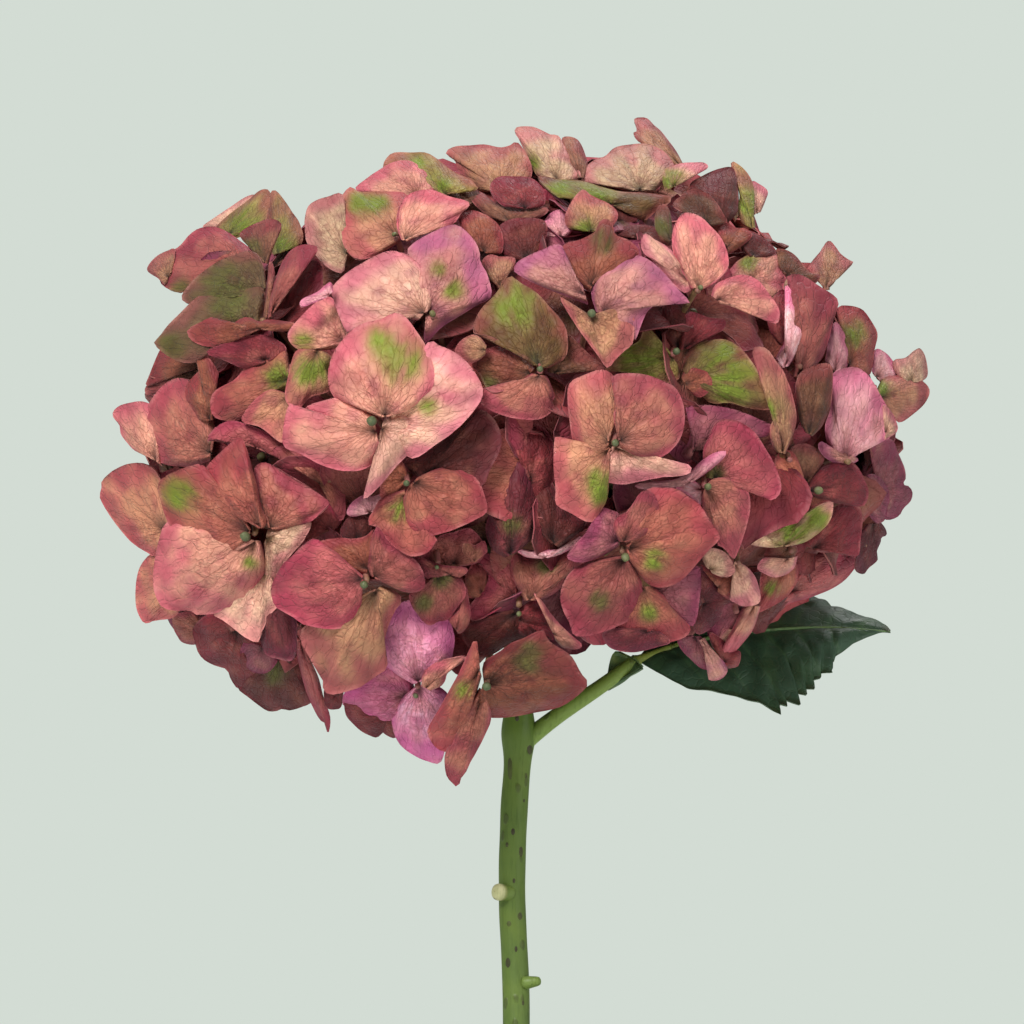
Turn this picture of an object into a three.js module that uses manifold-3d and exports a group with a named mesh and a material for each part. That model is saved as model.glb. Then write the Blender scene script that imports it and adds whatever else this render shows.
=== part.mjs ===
// A cut hydrangea head on one leafy stem, standing in a plain glass jar of water.
// Millimetres, +Z up, origin at the centre of the jar's underside. The flower's best side faces -Y.

import * as THREE from "three";
import { mergeVertices } from "three/addons/utils/BufferGeometryUtils.js";
import Module from "manifold-3d";

// ---------------------------------------------------------------- driving dimensions

const FIT_GAP = 0.3; // clearance between two separate pieces that touch
const WELD = 1e-3; // vertices closer than this are one
const FUSE_TOLERANCE = 0.15; // how far simplifying a fused solid may move its surface

const JAR_HEIGHT = 120;
const JAR_RADIUS = 40;
const JAR_WALL = 3;
const JAR_FLOOR = 5;
const MOUTH_RADIUS = 22; // inside the neck
const RIM_RADIUS = 28.5;
const SHOULDER_HEIGHT = 86;
const NECK_HEIGHT = 103;
const JAR_SIDES = 40;
const WATER_LEVEL = 78;

const STEM_RADIUS = 3.0;
const STEM_FOOT_RADIUS = 3.3;
const STEM_TOP = 226; // inside the head's core, where the branches start
const STEM_SIDES = 10;
const HOLE_OVERRUN = 3; // how far the hole in the water runs past the stem's foot

const HEAD_WIDTH = 182;
const HEAD_DEPTH = 172;
const HEAD_HEIGHT = 147;
const EYE_SHELL = 0.93; // the florets' eyes stand on this share of the head's half sizes
const BACK_SHELL = 0.85;
const BACK_START = -0.36; // the back's florets start this far before the head's middle
const SKIRT = -0.55; // and end this far below it
const LEAF_SIDE_X = 20; // florets over the leaf, past this and lower than the next height,
const LEAF_SHADE_Z = 256;
const LEAF_LIFT = 9; // are lifted clear of it
const CORE_SHARE = 0.68;
const CORE_FORWARD = 6;

const SEPAL_THICKNESS = 1.3;
const LAYER_STEP = 1.1; // the inner two sepals of a floret lie this far over its eye, the outer two under
const BUD_RADIUS = 2.7;
const PEDICEL_RADIUS = 1.0;

const LEAF_THICKNESS = 0.9;

// ---------------------------------------------------------------- the photograph's view

// The flower is placed from a level view along +Y, from VIEW_DISTANCE before the stem.
// One pixel of the 1024-pixel photograph is MM_PER_PIXEL at the stem.
const MM_PER_PIXEL = 0.22;
const VIEW_DISTANCE = 1400;
const FRAME_CENTRE_PIXEL = 512;
const STEM_PIXEL_X = 518;
const FRAME_FOOT_Z = 140; // height of the photograph's lower edge at the stem
const STEM_Y = 22; // the upright part of the stem stands this far behind the jar's axis
const VIEW_X = (FRAME_CENTRE_PIXEL - STEM_PIXEL_X) * MM_PER_PIXEL;
const VIEW_Z = FRAME_FOOT_Z + FRAME_CENTRE_PIXEL * MM_PER_PIXEL;

function atPixel([pixelX, pixelY], y) {
  const scale = MM_PER_PIXEL * (1 + (y - STEM_Y) / VIEW_DISTANCE);
  return new THREE.Vector3(
    VIEW_X + (pixelX - FRAME_CENTRE_PIXEL) * scale,
    y,
    VIEW_Z - (pixelY - FRAME_CENTRE_PIXEL) * scale,
  );
}

const HEAD_CENTRE = atPixel([514, 440], STEM_Y);

// ---------------------------------------------------------------- solids

const wasm = await Module();
wasm.setup();

function toSolid(points, faces) {
  return new wasm.Manifold(new wasm.Mesh({
    numProp: 3,
    vertProperties: new Float32Array(points.flatMap((p) => [p.x, p.y, p.z])),
    triVerts: new Uint32Array(faces.flat()),
  }));
}

function solidOf(geometry) {
  const merged = mergeVertices(geometry, WELD);
  return new wasm.Manifold(new wasm.Mesh({
    numProp: 3,
    vertProperties: merged.attributes.position.array.map((v) => Math.round(v / WELD) * WELD),
    triVerts: new Uint32Array(merged.index.array),
  }));
}

function geometryOf(solid) {
  const { vertProperties, triVerts } = solid.getMesh();
  const geometry = new THREE.BufferGeometry();
  geometry.setAttribute("position", new THREE.BufferAttribute(vertProperties, 3));
  geometry.setIndex(new THREE.BufferAttribute(triVerts, 1));
  return geometry;
}

// Keeps the largest skin alone: hollows sealed by fusing are filled, loose scraps dropped.
// Welding close vertices can pinch off another scrap, so it runs until one skin is left.
function outerSkin(solid, tolerance = WELD) {
  let welded = solidOf(geometryOf(solid.simplify(tolerance)));
  let skins = welded.decompose();
  while (skins.length > 1) {
    const largest = skins.reduce((best, skin) => (skin.volume() > best.volume() ? skin : best));
    welded = solidOf(geometryOf(largest));
    skins = welded.decompose();
  }
  return geometryOf(welded);
}

// A closed tube through rings of points, capped at both ends.
function ringTube(rings) {
  const sides = rings[0].length;
  const points = rings.flat();
  const faces = [];
  for (let r = 0; r + 1 < rings.length; r += 1) {
    for (let k = 0; k < sides; k += 1) {
      const a = r * sides + k;
      const b = r * sides + ((k + 1) % sides);
      faces.push([a, b, b + sides], [a, b + sides, a + sides]);
    }
  }
  const last = (rings.length - 1) * sides;
  for (let k = 1; k + 1 < sides; k += 1) {
    faces.push([0, k + 1, k], [last, last + k, last + k + 1]);
  }
  return toSolid(points, faces);
}

// Rings of a round tube along a curve, with its radius as a function of the share of length.
function tubeAlong(curve, steps, sides, radiusAt) {
  const rings = [];
  const side = new THREE.Vector3(1, 0, 0);
  for (let i = 0; i <= steps; i += 1) {
    const t = i / steps;
    const centre = curve.getPoint(t);
    const forward = curve.getTangent(t);
    side.addScaledVector(forward, -side.dot(forward)).normalize();
    const up = forward.clone().cross(side);
    rings.push(Array.from({ length: sides }, (_, k) => {
      const angle = (2 * Math.PI * k) / sides;
      return centre.clone()
        .addScaledVector(side, radiusAt(t) * Math.cos(angle))
        .addScaledVector(up, radiusAt(t) * Math.sin(angle));
    }));
  }
  return ringTube(rings);
}

// A turned solid from its outline of [radius, height] points, starting and ending on the axis.
function lathed(outline) {
  const turned = new THREE.LatheGeometry(outline.map(([r, z]) => new THREE.Vector2(r, z)), JAR_SIDES);
  turned.rotateX(Math.PI / 2).deleteAttribute("normal").deleteAttribute("uv");
  return solidOf(turned);
}

// ---------------------------------------------------------------- jar and water

const shoulderBlend = (t) => (1 - Math.cos(Math.PI * t)) / 2;

function jarGeometry() {
  const foot = 4;
  const outline = [[0, 0], [JAR_RADIUS - foot, 0]];
  for (let i = 1; i <= 4; i += 1) {
    const angle = (Math.PI / 2) * (i / 4);
    outline.push([JAR_RADIUS - foot + foot * Math.sin(angle), foot - foot * Math.cos(angle)]);
  }
  const neckOuter = MOUTH_RADIUS + JAR_WALL;
  for (let i = 0; i <= 6; i += 1) {
    const t = i / 6;
    outline.push([
      JAR_RADIUS + (neckOuter - JAR_RADIUS) * shoulderBlend(t),
      SHOULDER_HEIGHT + (NECK_HEIGHT - SHOULDER_HEIGHT) * t,
    ]);
  }
  const lip = (RIM_RADIUS - MOUTH_RADIUS) / 2;
  for (let i = 0; i <= 8; i += 1) {
    const angle = -Math.PI / 2 + (1.5 * Math.PI * i) / 8;
    outline.push([
      MOUTH_RADIUS + lip + lip * Math.cos(angle),
      JAR_HEIGHT - lip + lip * Math.sin(angle),
    ]);
  }
  outline.push([MOUTH_RADIUS, JAR_HEIGHT - lip], [MOUTH_RADIUS, NECK_HEIGHT]);
  const inner = JAR_RADIUS - JAR_WALL;
  for (let i = 1; i <= 6; i += 1) {
    const t = 1 - i / 6;
    outline.push([
      inner + (MOUTH_RADIUS - inner) * shoulderBlend(t),
      SHOULDER_HEIGHT + (NECK_HEIGHT - SHOULDER_HEIGHT) * t,
    ]);
  }
  outline.push([inner, JAR_FLOOR + foot]);
  for (let i = 1; i <= 4; i += 1) {
    const angle = (Math.PI / 2) * (1 - i / 4);
    outline.push([inner - foot + foot * Math.sin(angle), JAR_FLOOR + foot - foot * Math.cos(angle)]);
  }
  outline.push([0, JAR_FLOOR]);
  return geometryOf(lathed(outline));
}

const STEM_PLACES = [
  [1, -13, JAR_FLOOR + 1.3],
  [0.3, -3, 45],
  [-0.4, 7.5, 85],
  [-0.6, MOUTH_RADIUS - STEM_RADIUS - 2.1, JAR_HEIGHT - 5],
  [-0.4, STEM_Y - 1.5, 145],
  [-1.3, STEM_Y, 168],
  [-0.9, STEM_Y, 186],
  [0.1, STEM_Y, 203],
  [-0.2, STEM_Y, STEM_TOP],
];

const stemPath = () => new THREE.CatmullRomCurve3(
  STEM_PLACES.map((place) => new THREE.Vector3(...place)), false, "centripetal");

const NODE_Z = 204;
const NODE_SWELL = 0.9;

function stemRadius(z) {
  const swell = NODE_SWELL * Math.exp(-(((z - NODE_Z) / 4.5) ** 2));
  const low = THREE.MathUtils.smoothstep(150 - z, 0, 145);
  return STEM_RADIUS + swell + (STEM_FOOT_RADIUS - STEM_RADIUS) * low;
}

const STEM_STEPS = 30;

function stemSolid() {
  const curve = stemPath();
  return tubeAlong(curve, STEM_STEPS, STEM_SIDES, (t) => stemRadius(curve.getPoint(t).z));
}

// The room that the stem needs in its neighbours: wider by the fit gap, and longer at both ends.
function stemHole() {
  const curve = stemPath();
  const past = (share, distance) => curve.getPoint(share).addScaledVector(curve.getTangent(share), distance);
  const longer = new THREE.CatmullRomCurve3(
    [past(0, -HOLE_OVERRUN), ...curve.points, past(1, FIT_GAP)], false, "centripetal");
  return tubeAlong(
    longer, STEM_STEPS + 4, STEM_SIDES, (t) => stemRadius(longer.getPoint(t).z) + FIT_GAP);
}

function waterBody() {
  const radius = JAR_RADIUS - JAR_WALL - FIT_GAP;
  const foot = 4;
  const outline = [[0, JAR_FLOOR + FIT_GAP]];
  for (let i = 0; i <= 4; i += 1) {
    const angle = (Math.PI / 2) * (i / 4);
    outline.push([
      radius - foot + foot * Math.sin(angle),
      JAR_FLOOR + FIT_GAP + foot - foot * Math.cos(angle),
    ]);
  }
  outline.push([radius, WATER_LEVEL], [0, WATER_LEVEL]);
  return outerSkin(lathed(outline).subtract(stemHole()));
}

// ---------------------------------------------------------------- leaf

// The midrib, from the end of the petiole to the leaf's tip, as pixels with a depth behind the stem.
const MIDRIB = [[637, 660, 0], [678, 645, 2], [720, 636, 4], [762, 630, 6], [826, 627, 9], [890, 631, 12]];
const PETIOLE = [[518, 748, 0], [535, 733, 0], [560, 714, -1], [600, 687, -1], [637, 660, 0]];
const LEAF_HALF_WIDTH = 24.5;
const NEAR_HALF = new THREE.Vector3(0, -0.64, -0.77); // the half towards the viewer hangs steeply
const FAR_HALF = new THREE.Vector3(0, 0.93, 0.36); // the half behind it spreads almost level
const LEAF_ROWS = 21;
const TOOTH_DEPTH = 1.5;

const bentPath = (places) => new THREE.CatmullRomCurve3(
  places.map(([x, y, behind]) => atPixel([x, y], STEM_Y + behind)), false, "centripetal");

// Share of the half width at a share of the midrib: full past the middle, drawn out to a point.
function leafOutline(t) {
  const body = Math.pow(t, 0.62) * Math.pow(1 - t, 0.95) * 2.13;
  return Math.min(body, 1);
}

function leafGeometry() {
  const midrib = bentPath(MIDRIB);
  const shares = [-1, -0.5, 0, 0.5, 1];
  const top = [];
  const bottom = [];
  for (let row = 1; row <= LEAF_ROWS; row += 1) {
    const t = row / (LEAF_ROWS + 1);
    const tooth = row % 2 ? TOOTH_DEPTH * (0.3 + t) : 0;
    const halfWidth = LEAF_HALF_WIDTH * leafOutline(t);
    const centre = midrib.getPoint(t);
    const along = midrib.getTangent(t);
    shares.forEach((share) => {
      const half = share < 0 ? NEAR_HALF : FAR_HALF;
      const reach = Math.abs(share) * halfWidth + (Math.abs(share) === 1 ? tooth : 0);
      const sag = 1.2 * Math.sin(Math.PI * Math.abs(share));
      const point = centre.clone()
        .addScaledVector(half, reach)
        .addScaledVector(along, 0.35 * reach)
        .add(new THREE.Vector3(0, 0, sag));
      const across = half.clone().multiplyScalar(Math.sign(share) || 1);
      const up = share === 0
        ? new THREE.Vector3(0, -0.3, 1).normalize()
        : along.clone().cross(across).normalize();
      if (up.z < 0) up.negate();
      top.push(point.clone().addScaledVector(up, LEAF_THICKNESS / 2));
      bottom.push(point.clone().addScaledVector(up, -LEAF_THICKNESS / 2));
    });
  }
  const width = shares.length;
  const points = [...top, ...bottom, midrib.getPoint(0), midrib.getPoint(1)];
  const under = top.length;
  const base = 2 * under;
  const tip = base + 1;
  const faces = [];
  for (let row = 0; row + 1 < LEAF_ROWS; row += 1) {
    for (let k = 0; k + 1 < width; k += 1) {
      const a = row * width + k;
      const b = a + 1;
      const c = b + width;
      const d = a + width;
      faces.push([a, d, b], [b, d, c]);
      faces.push([a + under, b + under, d + under], [b + under, c + under, d + under]);
    }
    const near = row * width;
    const far = near + width - 1;
    faces.push([near, near + under, near + width], [near + under, near + width + under, near + width]);
    faces.push([far, far + width, far + under], [far + under, far + width, far + width + under]);
  }
  const lastRow = (LEAF_ROWS - 1) * width;
  for (let k = 0; k + 1 < width; k += 1) {
    faces.push([base, k, k + 1], [base, k + 1 + under, k + under]);
    faces.push([tip, lastRow + k + 1, lastRow + k], [tip, lastRow + k + under, lastRow + k + 1 + under]);
  }
  faces.push([base, under, 0], [base, width - 1, width - 1 + under]);
  faces.push([tip, lastRow, lastRow + under], [tip, lastRow + width - 1 + under, lastRow + width - 1]);
  const blade = toSolid(points, faces);
  const petiole = tubeAlong(bentPath(PETIOLE), 9, 8, (t) => 2.25 - 0.7 * t);
  const rib = tubeAlong(midrib, 14, 6, (t) => 1.5 - 1.0 * t);
  return outerSkin(wasm.Manifold.union([blade, petiole, rib]).subtract(stemHole()));
}

// ---------------------------------------------------------------- stem

function stemGeometry() {
  const twig = (from, to, radius) => tubeAlong(
    new THREE.LineCurve3(from, to), 2, 8, (t) => radius * (t > 0.9 ? 0.9 : 1));
  const stubRoot = atPixel([510, 893], STEM_Y - 1.5);
  const stub = twig(stubRoot, stubRoot.clone().add(new THREE.Vector3(-2.9, -2.6, 0.4)), 1.8);
  const budRoot = atPixel([524, 983], STEM_Y - 3);
  const bud = twig(budRoot, budRoot.clone().add(new THREE.Vector3(3.4, -0.8, 0.5)), 1.2);
  return outerSkin(wasm.Manifold.union([stemSolid(), stub, bud]));
}

// ---------------------------------------------------------------- flower head

// A repeatable stream of even draws between 0 and 1.
function drawsFrom(seed) {
  let state = seed;
  return () => {
    state = (state * 16807) % 2147483647;
    return state / 2147483647;
  };
}

// A sepal widens from the bud to its broadest, and ends in a blunt tip.
const SEPAL_BROADEST = 0.52; // share of its length
const SEPAL_END = { along: 0.94, reach: 0.58 };
const SEPAL_ARCH = 0.09; // rise of a sepal's middle over the line from bud to tip, by its length

// The left, ridge and right points where a sepal is broadest, and the left and right of its tip.
function sepalPoints(base, tip, face, width, roll) {
  const axis = tip.clone().sub(base);
  const length = axis.length();
  axis.normalize();
  const up = face.clone().addScaledVector(axis, -face.dot(axis)).normalize()
    .applyAxisAngle(axis, THREE.MathUtils.degToRad(roll));
  const side = axis.clone().cross(up);
  const middle = base.clone()
    .addScaledVector(axis, length * SEPAL_BROADEST)
    .addScaledVector(up, length * SEPAL_ARCH);
  const end = base.clone().addScaledVector(axis, length * SEPAL_END.along);
  return [
    middle.clone().addScaledVector(side, -width / 2),
    middle.clone().addScaledVector(up, SEPAL_THICKNESS),
    middle.clone().addScaledVector(side, width / 2),
    end.clone().addScaledVector(side, (-SEPAL_END.reach * width) / 2),
    end.clone().addScaledVector(side, (SEPAL_END.reach * width) / 2),
  ];
}

// One sepal as a solid of its own, from its pointed base to its tip.
function sepal(base, tip, face, width, roll) {
  const [start, left, ridge, right, endLeft, endRight] = [0, 1, 2, 3, 4, 5];
  return toSolid([base, ...sepalPoints(base, tip, face, width, roll)], [
    [start, ridge, left], [start, right, ridge], [start, left, right],
    [ridge, right, endRight], [ridge, endRight, endLeft], [ridge, endLeft, left],
    [left, endLeft, right], [right, endLeft, endRight],
  ]);
}

const branchPoint = HEAD_CENTRE.clone().add(new THREE.Vector3(0, 0, -0.25 * HEAD_HEIGHT));

// A three-sided stalk from inside the core to the floret's eye, through rings of [place, radius].
function stalk(face, places) {
  const towards = new THREE.Vector3(0, 0, 1).cross(face).normalize();
  const beside = face.clone().cross(towards);
  return ringTube(places.map(([centre, radius]) => [0, 1, 2].map((corner) => {
    const angle = (2 * Math.PI * corner) / 3;
    return centre.clone()
      .addScaledVector(towards, radius * Math.cos(angle))
      .addScaledVector(beside, radius * Math.sin(angle));
  })));
}

const pedicelRoot = (eye) => eye.clone().lerp(branchPoint, 0.8);

// A floret whose sepals overlap: a pedicel that ends in the bud, and opposite pairs in two layers.
function layeredFloret(eye, face, sepals) {
  const pedicel = stalk(face, [
    [pedicelRoot(eye), PEDICEL_RADIUS],
    [eye.clone().addScaledVector(face, -BUD_RADIUS), PEDICEL_RADIUS],
    [eye, BUD_RADIUS],
    [eye.clone().addScaledVector(face, BUD_RADIUS), 0.3 * BUD_RADIUS],
  ]);
  const blades = sepals.map(({ tip, width, roll }, order) => {
    const layer = face.clone().multiplyScalar(order < 2 ? -LAYER_STEP : LAYER_STEP);
    const base = eye.clone().add(layer);
    base.addScaledVector(tip.clone().sub(eye).normalize(), 0.3);
    return sepal(base, tip.clone().add(layer), face, width, roll);
  });
  return [pedicel, ...blades];
}

// A floret whose sepals only meet at the eye, as one star-shaped solid; they go round its face.
function starFloret(eye, face, sepals) {
  const points = [
    eye.clone().addScaledVector(face, BUD_RADIUS), eye.clone().addScaledVector(face, -BUD_RADIUS)];
  const count = sepals.length;
  const towards = sepals.map(({ tip }) => tip.clone().sub(eye).normalize());
  towards.forEach((direction, k) => points.push(eye.clone().addScaledVector(
    direction.clone().add(towards[(k + 1) % count]).normalize(), BUD_RADIUS)));
  const [top, bottom] = [0, 1];
  const faces = [];
  sepals.forEach(({ tip, width, roll }, k) => {
    const left = points.length;
    const [ridge, right, endLeft, endRight] = [left + 1, left + 2, left + 3, left + 4];
    points.push(...sepalPoints(eye, tip, face, width, roll));
    const notch = 2 + k;
    const notchBefore = 2 + ((k + count - 1) % count);
    faces.push(
      [top, notchBefore, right], [top, right, ridge], [top, ridge, left], [top, left, notch],
      [ridge, right, endRight], [ridge, endRight, endLeft], [ridge, endLeft, left],
      [bottom, notch, notchBefore], [notchBefore, left, right], [notchBefore, notch, left],
      [left, endLeft, right], [right, endLeft, endRight],
    );
  });
  return [toSolid(points, faces), stalk(face, [[pedicelRoot(eye), PEDICEL_RADIUS], [eye, PEDICEL_RADIUS]])];
}

const shellDepth = (x, z) => {
  const across = (x - HEAD_CENTRE.x) / (EYE_SHELL * HEAD_WIDTH / 2);
  const upward = (z - HEAD_CENTRE.z) / (EYE_SHELL * HEAD_HEIGHT / 2);
  return EYE_SHELL * (HEAD_DEPTH / 2) * Math.sqrt(Math.max(0, 1 - across ** 2 - upward ** 2));
};

// The florets that the photograph shows. eye and the first two numbers of each sepal, its tip, are
// pixels; forward is how far the eye stands before the dome; face is the right and upward part of
// the way the floret looks. Then come a sepal's width in pixels and its roll about its own length.
const FRONT_FLORETS = [
  { name: "left centre", eye: [376, 425], forward: 9, face: [-0.1, 0.05],
    sepals: [[484, 385, 112], [283, 441, 92], [364, 499, 58, 40], [393, 311, 106]] },
  { name: "upper left pink", eye: [434, 316], forward: 6, face: [-0.05, 0.25],
    sepals: [[300, 303, 42, 45], [492, 290, 54, 30], [458, 227, 88], [331, 290, 86]] },
  { name: "centre top", eye: [590, 316], forward: 8, face: [0.05, 0.2],
    sepals: [[607, 221, 80], [516, 264, 68], [682, 293, 90], [610, 372, 66]] },
  { name: "right pink", eye: [700, 294], forward: 9, face: [0.2, 0.3],
    sepals: [[742, 323, 40, 50], [643, 233, 44, 35], [782, 318, 54, -20], [690, 211, 60]] },
  { name: "green right", eye: [672, 352], forward: -5, face: [0.1, 0.1],
    sepals: [[672, 298, 56], [713, 397, 46], [607, 369, 62], [773, 402, 78]] },
  { name: "centre", eye: [542, 371], forward: 2, face: [-0.05, 0.1],
    sepals: [[604, 367, 58], [475, 367, 56], [514, 420, 76], [510, 274, 98]] },
  { name: "centre right", eye: [613, 441], forward: 7, face: [0, 0.02],
    sepals: [[555, 510, 74], [723, 455, 44, 45], [687, 408, 86], [565, 397, 90]] },
  { name: "low centre right", eye: [622, 550], forward: 7, face: [0.05, -0.15],
    sepals: [[672, 645, 90], [566, 554, 60], [718, 538, 102], [583, 635, 82]] },
  { name: "right mid", eye: [704, 482], forward: 3, face: [0.2, 0],
    sepals: [[648, 498, 44, 40], [746, 559, 68]] },
  { name: "right deep", eye: [712, 452], forward: 0, face: [0.2, 0.1],
    sepals: [[698, 406, 52, 55], [772, 429, 34, 60], [791, 499, 70]] },
  { name: "teal eye", eye: [815, 486], forward: 1, face: [0.45, 0],
    sepals: [[875, 474, 58], [822, 445, 40], [788, 455, 42], [799, 512, 36]] },
  { name: "green curl", eye: [753, 532], forward: 3, face: [0.2, -0.3],
    sepals: [[790, 613, 50], [844, 505, 50, 60]] },
  { name: "light pink", eye: [846, 462], forward: 5, face: [0.6, 0],
    sepals: [[900, 425, 48], [853, 366, 70]] },
  { name: "far right", eye: [872, 388], forward: -2, face: [0.8, 0.1],
    sepals: [[879, 346, 38], [921, 348, 36], [931, 393, 54]] },
  { name: "right upper", eye: [846, 372], forward: -2, face: [0.6, 0.3],
    sepals: [[860, 304, 50], [837, 321, 28, 50]] },
  { name: "right large", eye: [798, 368], forward: 0, face: [0.5, 0.3],
    sepals: [[820, 278, 66], [794, 281, 52, 55]] },
  { name: "right curl", eye: [788, 460], forward: 4, face: [0.35, 0.1],
    sepals: [[829, 365, 46], [752, 349, 48, 50]] },
  { name: "light ragged", eye: [735, 282], forward: -4, face: [0.3, 0.45],
    sepals: [[785, 266, 50], [775, 340, 44, 40]] },
  { name: "three points", eye: [822, 297], forward: -8, face: [0.5, 0.5],
    sepals: [[829, 241, 26], [854, 263, 28]] },
  { name: "top right", eye: [700, 240], forward: -4, face: [0.3, 0.6],
    sepals: [[692, 185, 54], [660, 198, 44, 55], [752, 236, 32]] },
  { name: "right shoulder", eye: [750, 240], forward: -10, face: [0.45, 0.6],
    sepals: [[768, 189, 38], [731, 159, 44, 50], [819, 279, 46]] },
  { name: "top salmon", eye: [648, 208], forward: -8, face: [0.1, 0.75],
    sepals: [[630, 143, 94], [711, 166, 44, 30], [534, 177, 56, -62], [673, 216, 52, -60]] },
  { name: "top strip", eye: [702, 190], forward: -18, face: [0.2, 0.8],
    sepals: [[637, 118, 36, 40], [736, 170, 50]] },
  { name: "top cream", eye: [572, 188], forward: -10, face: [-0.1, 0.8],
    sepals: [[580, 136, 42], [514, 128, 58]] },
  { name: "top left inner", eye: [525, 196], forward: -7, face: [-0.2, 0.8],
    sepals: [[445, 152, 60], [455, 205, 40, -50], [546, 222, 40, -50], [491, 190, 40]] },
  { name: "top left outer", eye: [446, 203], forward: -6, face: [-0.3, 0.7],
    sepals: [[388, 153, 62], [358, 186, 56]] },
  { name: "left top", eye: [397, 241], forward: 0, face: [-0.2, 0.5],
    sepals: [[307, 210, 74], [474, 206, 54], [345, 189, 72]] },
  { name: "brown cup", eye: [478, 264], forward: -5, face: [0, 0.4],
    sepals: [[517, 286, 40], [481, 206, 54]] },
  { name: "small top", eye: [600, 240], forward: -6, face: [0, 0.5],
    sepals: [[544, 214, 44], [673, 232, 34, 45], [640, 204, 44], [582, 189, 62]] },
  { name: "upper left back", eye: [236, 272], forward: -12, face: [-0.5, 0.5],
    sepals: [[147, 268, 40], [285, 192, 62], [262, 189, 74], [159, 262, 74]] },
  { name: "upper left front", eye: [264, 322], forward: 3, face: [-0.55, 0.3],
    sepals: [[273, 217, 64, 50], [319, 246, 46, 50], [156, 340, 92], [188, 334, 40, -50]] },
  { name: "left red", eye: [212, 442], forward: 0, face: [-0.6, 0],
    sepals: [[116, 411, 56], [158, 388, 88], [191, 345, 44, 45]] },
  { name: "left dark", eye: [208, 370], forward: -10, face: [-0.6, 0.2],
    sepals: [[147, 396, 50], [156, 348, 40]] },
  { name: "left mid", eye: [292, 372], forward: 2, face: [-0.3, 0.1],
    sepals: [[256, 334, 56], [268, 440, 46], [212, 407, 70]] },
  { name: "green spots", eye: [346, 346], forward: 4, face: [-0.2, 0.2],
    sepals: [[287, 333, 54], [302, 411, 52]] },
  { name: "pink edge", eye: [320, 474], forward: -3, face: [-0.2, 0],
    sepals: [[206, 428, 54, 50], [347, 524, 44]] },
  { name: "left front", eye: [257, 535], forward: 10, face: [-0.3, -0.05],
    sepals: [[157, 600, 88], [262, 647, 68], [331, 503, 88], [240, 434, 62], [159, 490, 90]] },
  { name: "far left", eye: [190, 520], forward: 0, face: [-0.6, -0.1],
    sepals: [[159, 431, 22, 60], [143, 623, 62], [100, 486, 92]] },
  { name: "front low left", eye: [367, 580], forward: 9, face: [-0.1, -0.2],
    sepals: [[345, 696, 94], [345, 532, 66], [270, 592, 94], [427, 580, 56]] },
  { name: "small mid", eye: [440, 560], forward: -2, face: [0, -0.2],
    sepals: [[467, 566, 34, 50], [436, 625, 64], [490, 600, 50]] },
  { name: "lilac", eye: [417, 685], forward: 8, face: [-0.1, -0.5],
    sepals: [[342, 713, 64], [438, 764, 60], [464, 659, 24], [417, 601, 80]] },
  { name: "bottom", eye: [487, 680], forward: 14, face: [0, -0.35],
    sepals: [[456, 788, 52], [433, 748, 60, 45], [474, 637, 28, 40], [590, 682, 86]] },
  { name: "dark low left", eye: [290, 640], forward: -12, face: [-0.3, -0.5],
    sepals: [[272, 713, 76], [329, 735, 40, 55], [195, 648, 70]] },
  { name: "mid rust", eye: [408, 480], forward: 2, face: [0, -0.05],
    sepals: [[499, 428, 84], [347, 506, 44, 45], [419, 557, 64], [489, 512, 74]] },
  { name: "plum", eye: [500, 548], forward: -5, face: [0, 0],
    sepals: [[515, 438, 44, 20], [541, 432, 78]] },
  { name: "dark centre", eye: [519, 604], forward: -8, face: [0, -0.2],
    sepals: [[468, 556, 62], [470, 656, 84], [560, 648, 62], [560, 547, 76], [580, 651, 30, 50]] },
  { name: "low right curl", eye: [702, 578], forward: 4, face: [0.3, -0.2],
    sepals: [[716, 640, 50], [771, 603, 48], [747, 574, 44, 35]] },
  { name: "low right", eye: [748, 602], forward: 0, face: [0.3, -0.4],
    sepals: [[776, 671, 34], [720, 649, 58]] },
  { name: "deep pink", eye: [862, 545], forward: -4, face: [0.5, -0.4],
    sepals: [[763, 625, 62]] },
  { name: "far right dark", eye: [868, 500], forward: -4, face: [0.8, -0.1],
    sepals: [[874, 574, 44], [922, 492, 84], [897, 520, 52, 30]] },
  { name: "low pinks", eye: [700, 630], forward: 0, face: [0.1, -0.6],
    sepals: [[603, 637, 48], [713, 682, 44, 30]] },
];

const DOME_LEAN = 0.42; // how far a floret's face turns from its own towards the dome's
const domeNormal = (place) => {
  const out = place.clone().sub(HEAD_CENTRE);
  return out.set(out.x / HEAD_WIDTH ** 2, out.y / HEAD_DEPTH ** 2, out.z / HEAD_HEIGHT ** 2).normalize();
};

// A floret of the table: its eye stands on the head's front, its tips in the plane of its face.
function frontFloret({ eye: eyePixel, forward, face: [right, up], sepals }) {
  const rough = atPixel(eyePixel, STEM_Y);
  const eyeY = STEM_Y - shellDepth(rough.x, rough.z) - forward;
  const eye = atPixel(eyePixel, eyeY);
  const face = new THREE.Vector3(right, -Math.sqrt(1 - right ** 2 - up ** 2), up)
    .lerp(domeNormal(eye), DOME_LEAN).normalize();
  return layeredFloret(eye, face, sepals.map(([tipX, tipY, width, roll = 0]) => {
    const flat = atPixel([tipX, tipY], eyeY).sub(eye);
    const back = -(face.x * flat.x + face.z * flat.z) / face.y;
    const tip = atPixel([tipX, tipY], eyeY + back);
    return { tip, width: width * MM_PER_PIXEL, roll };
  }));
}

// The sides and the back: florets spread evenly over the dome by the golden angle.
const BACK_COUNT = 78;
const GOLDEN_ANGLE = Math.PI * (3 - Math.sqrt(5));

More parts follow.
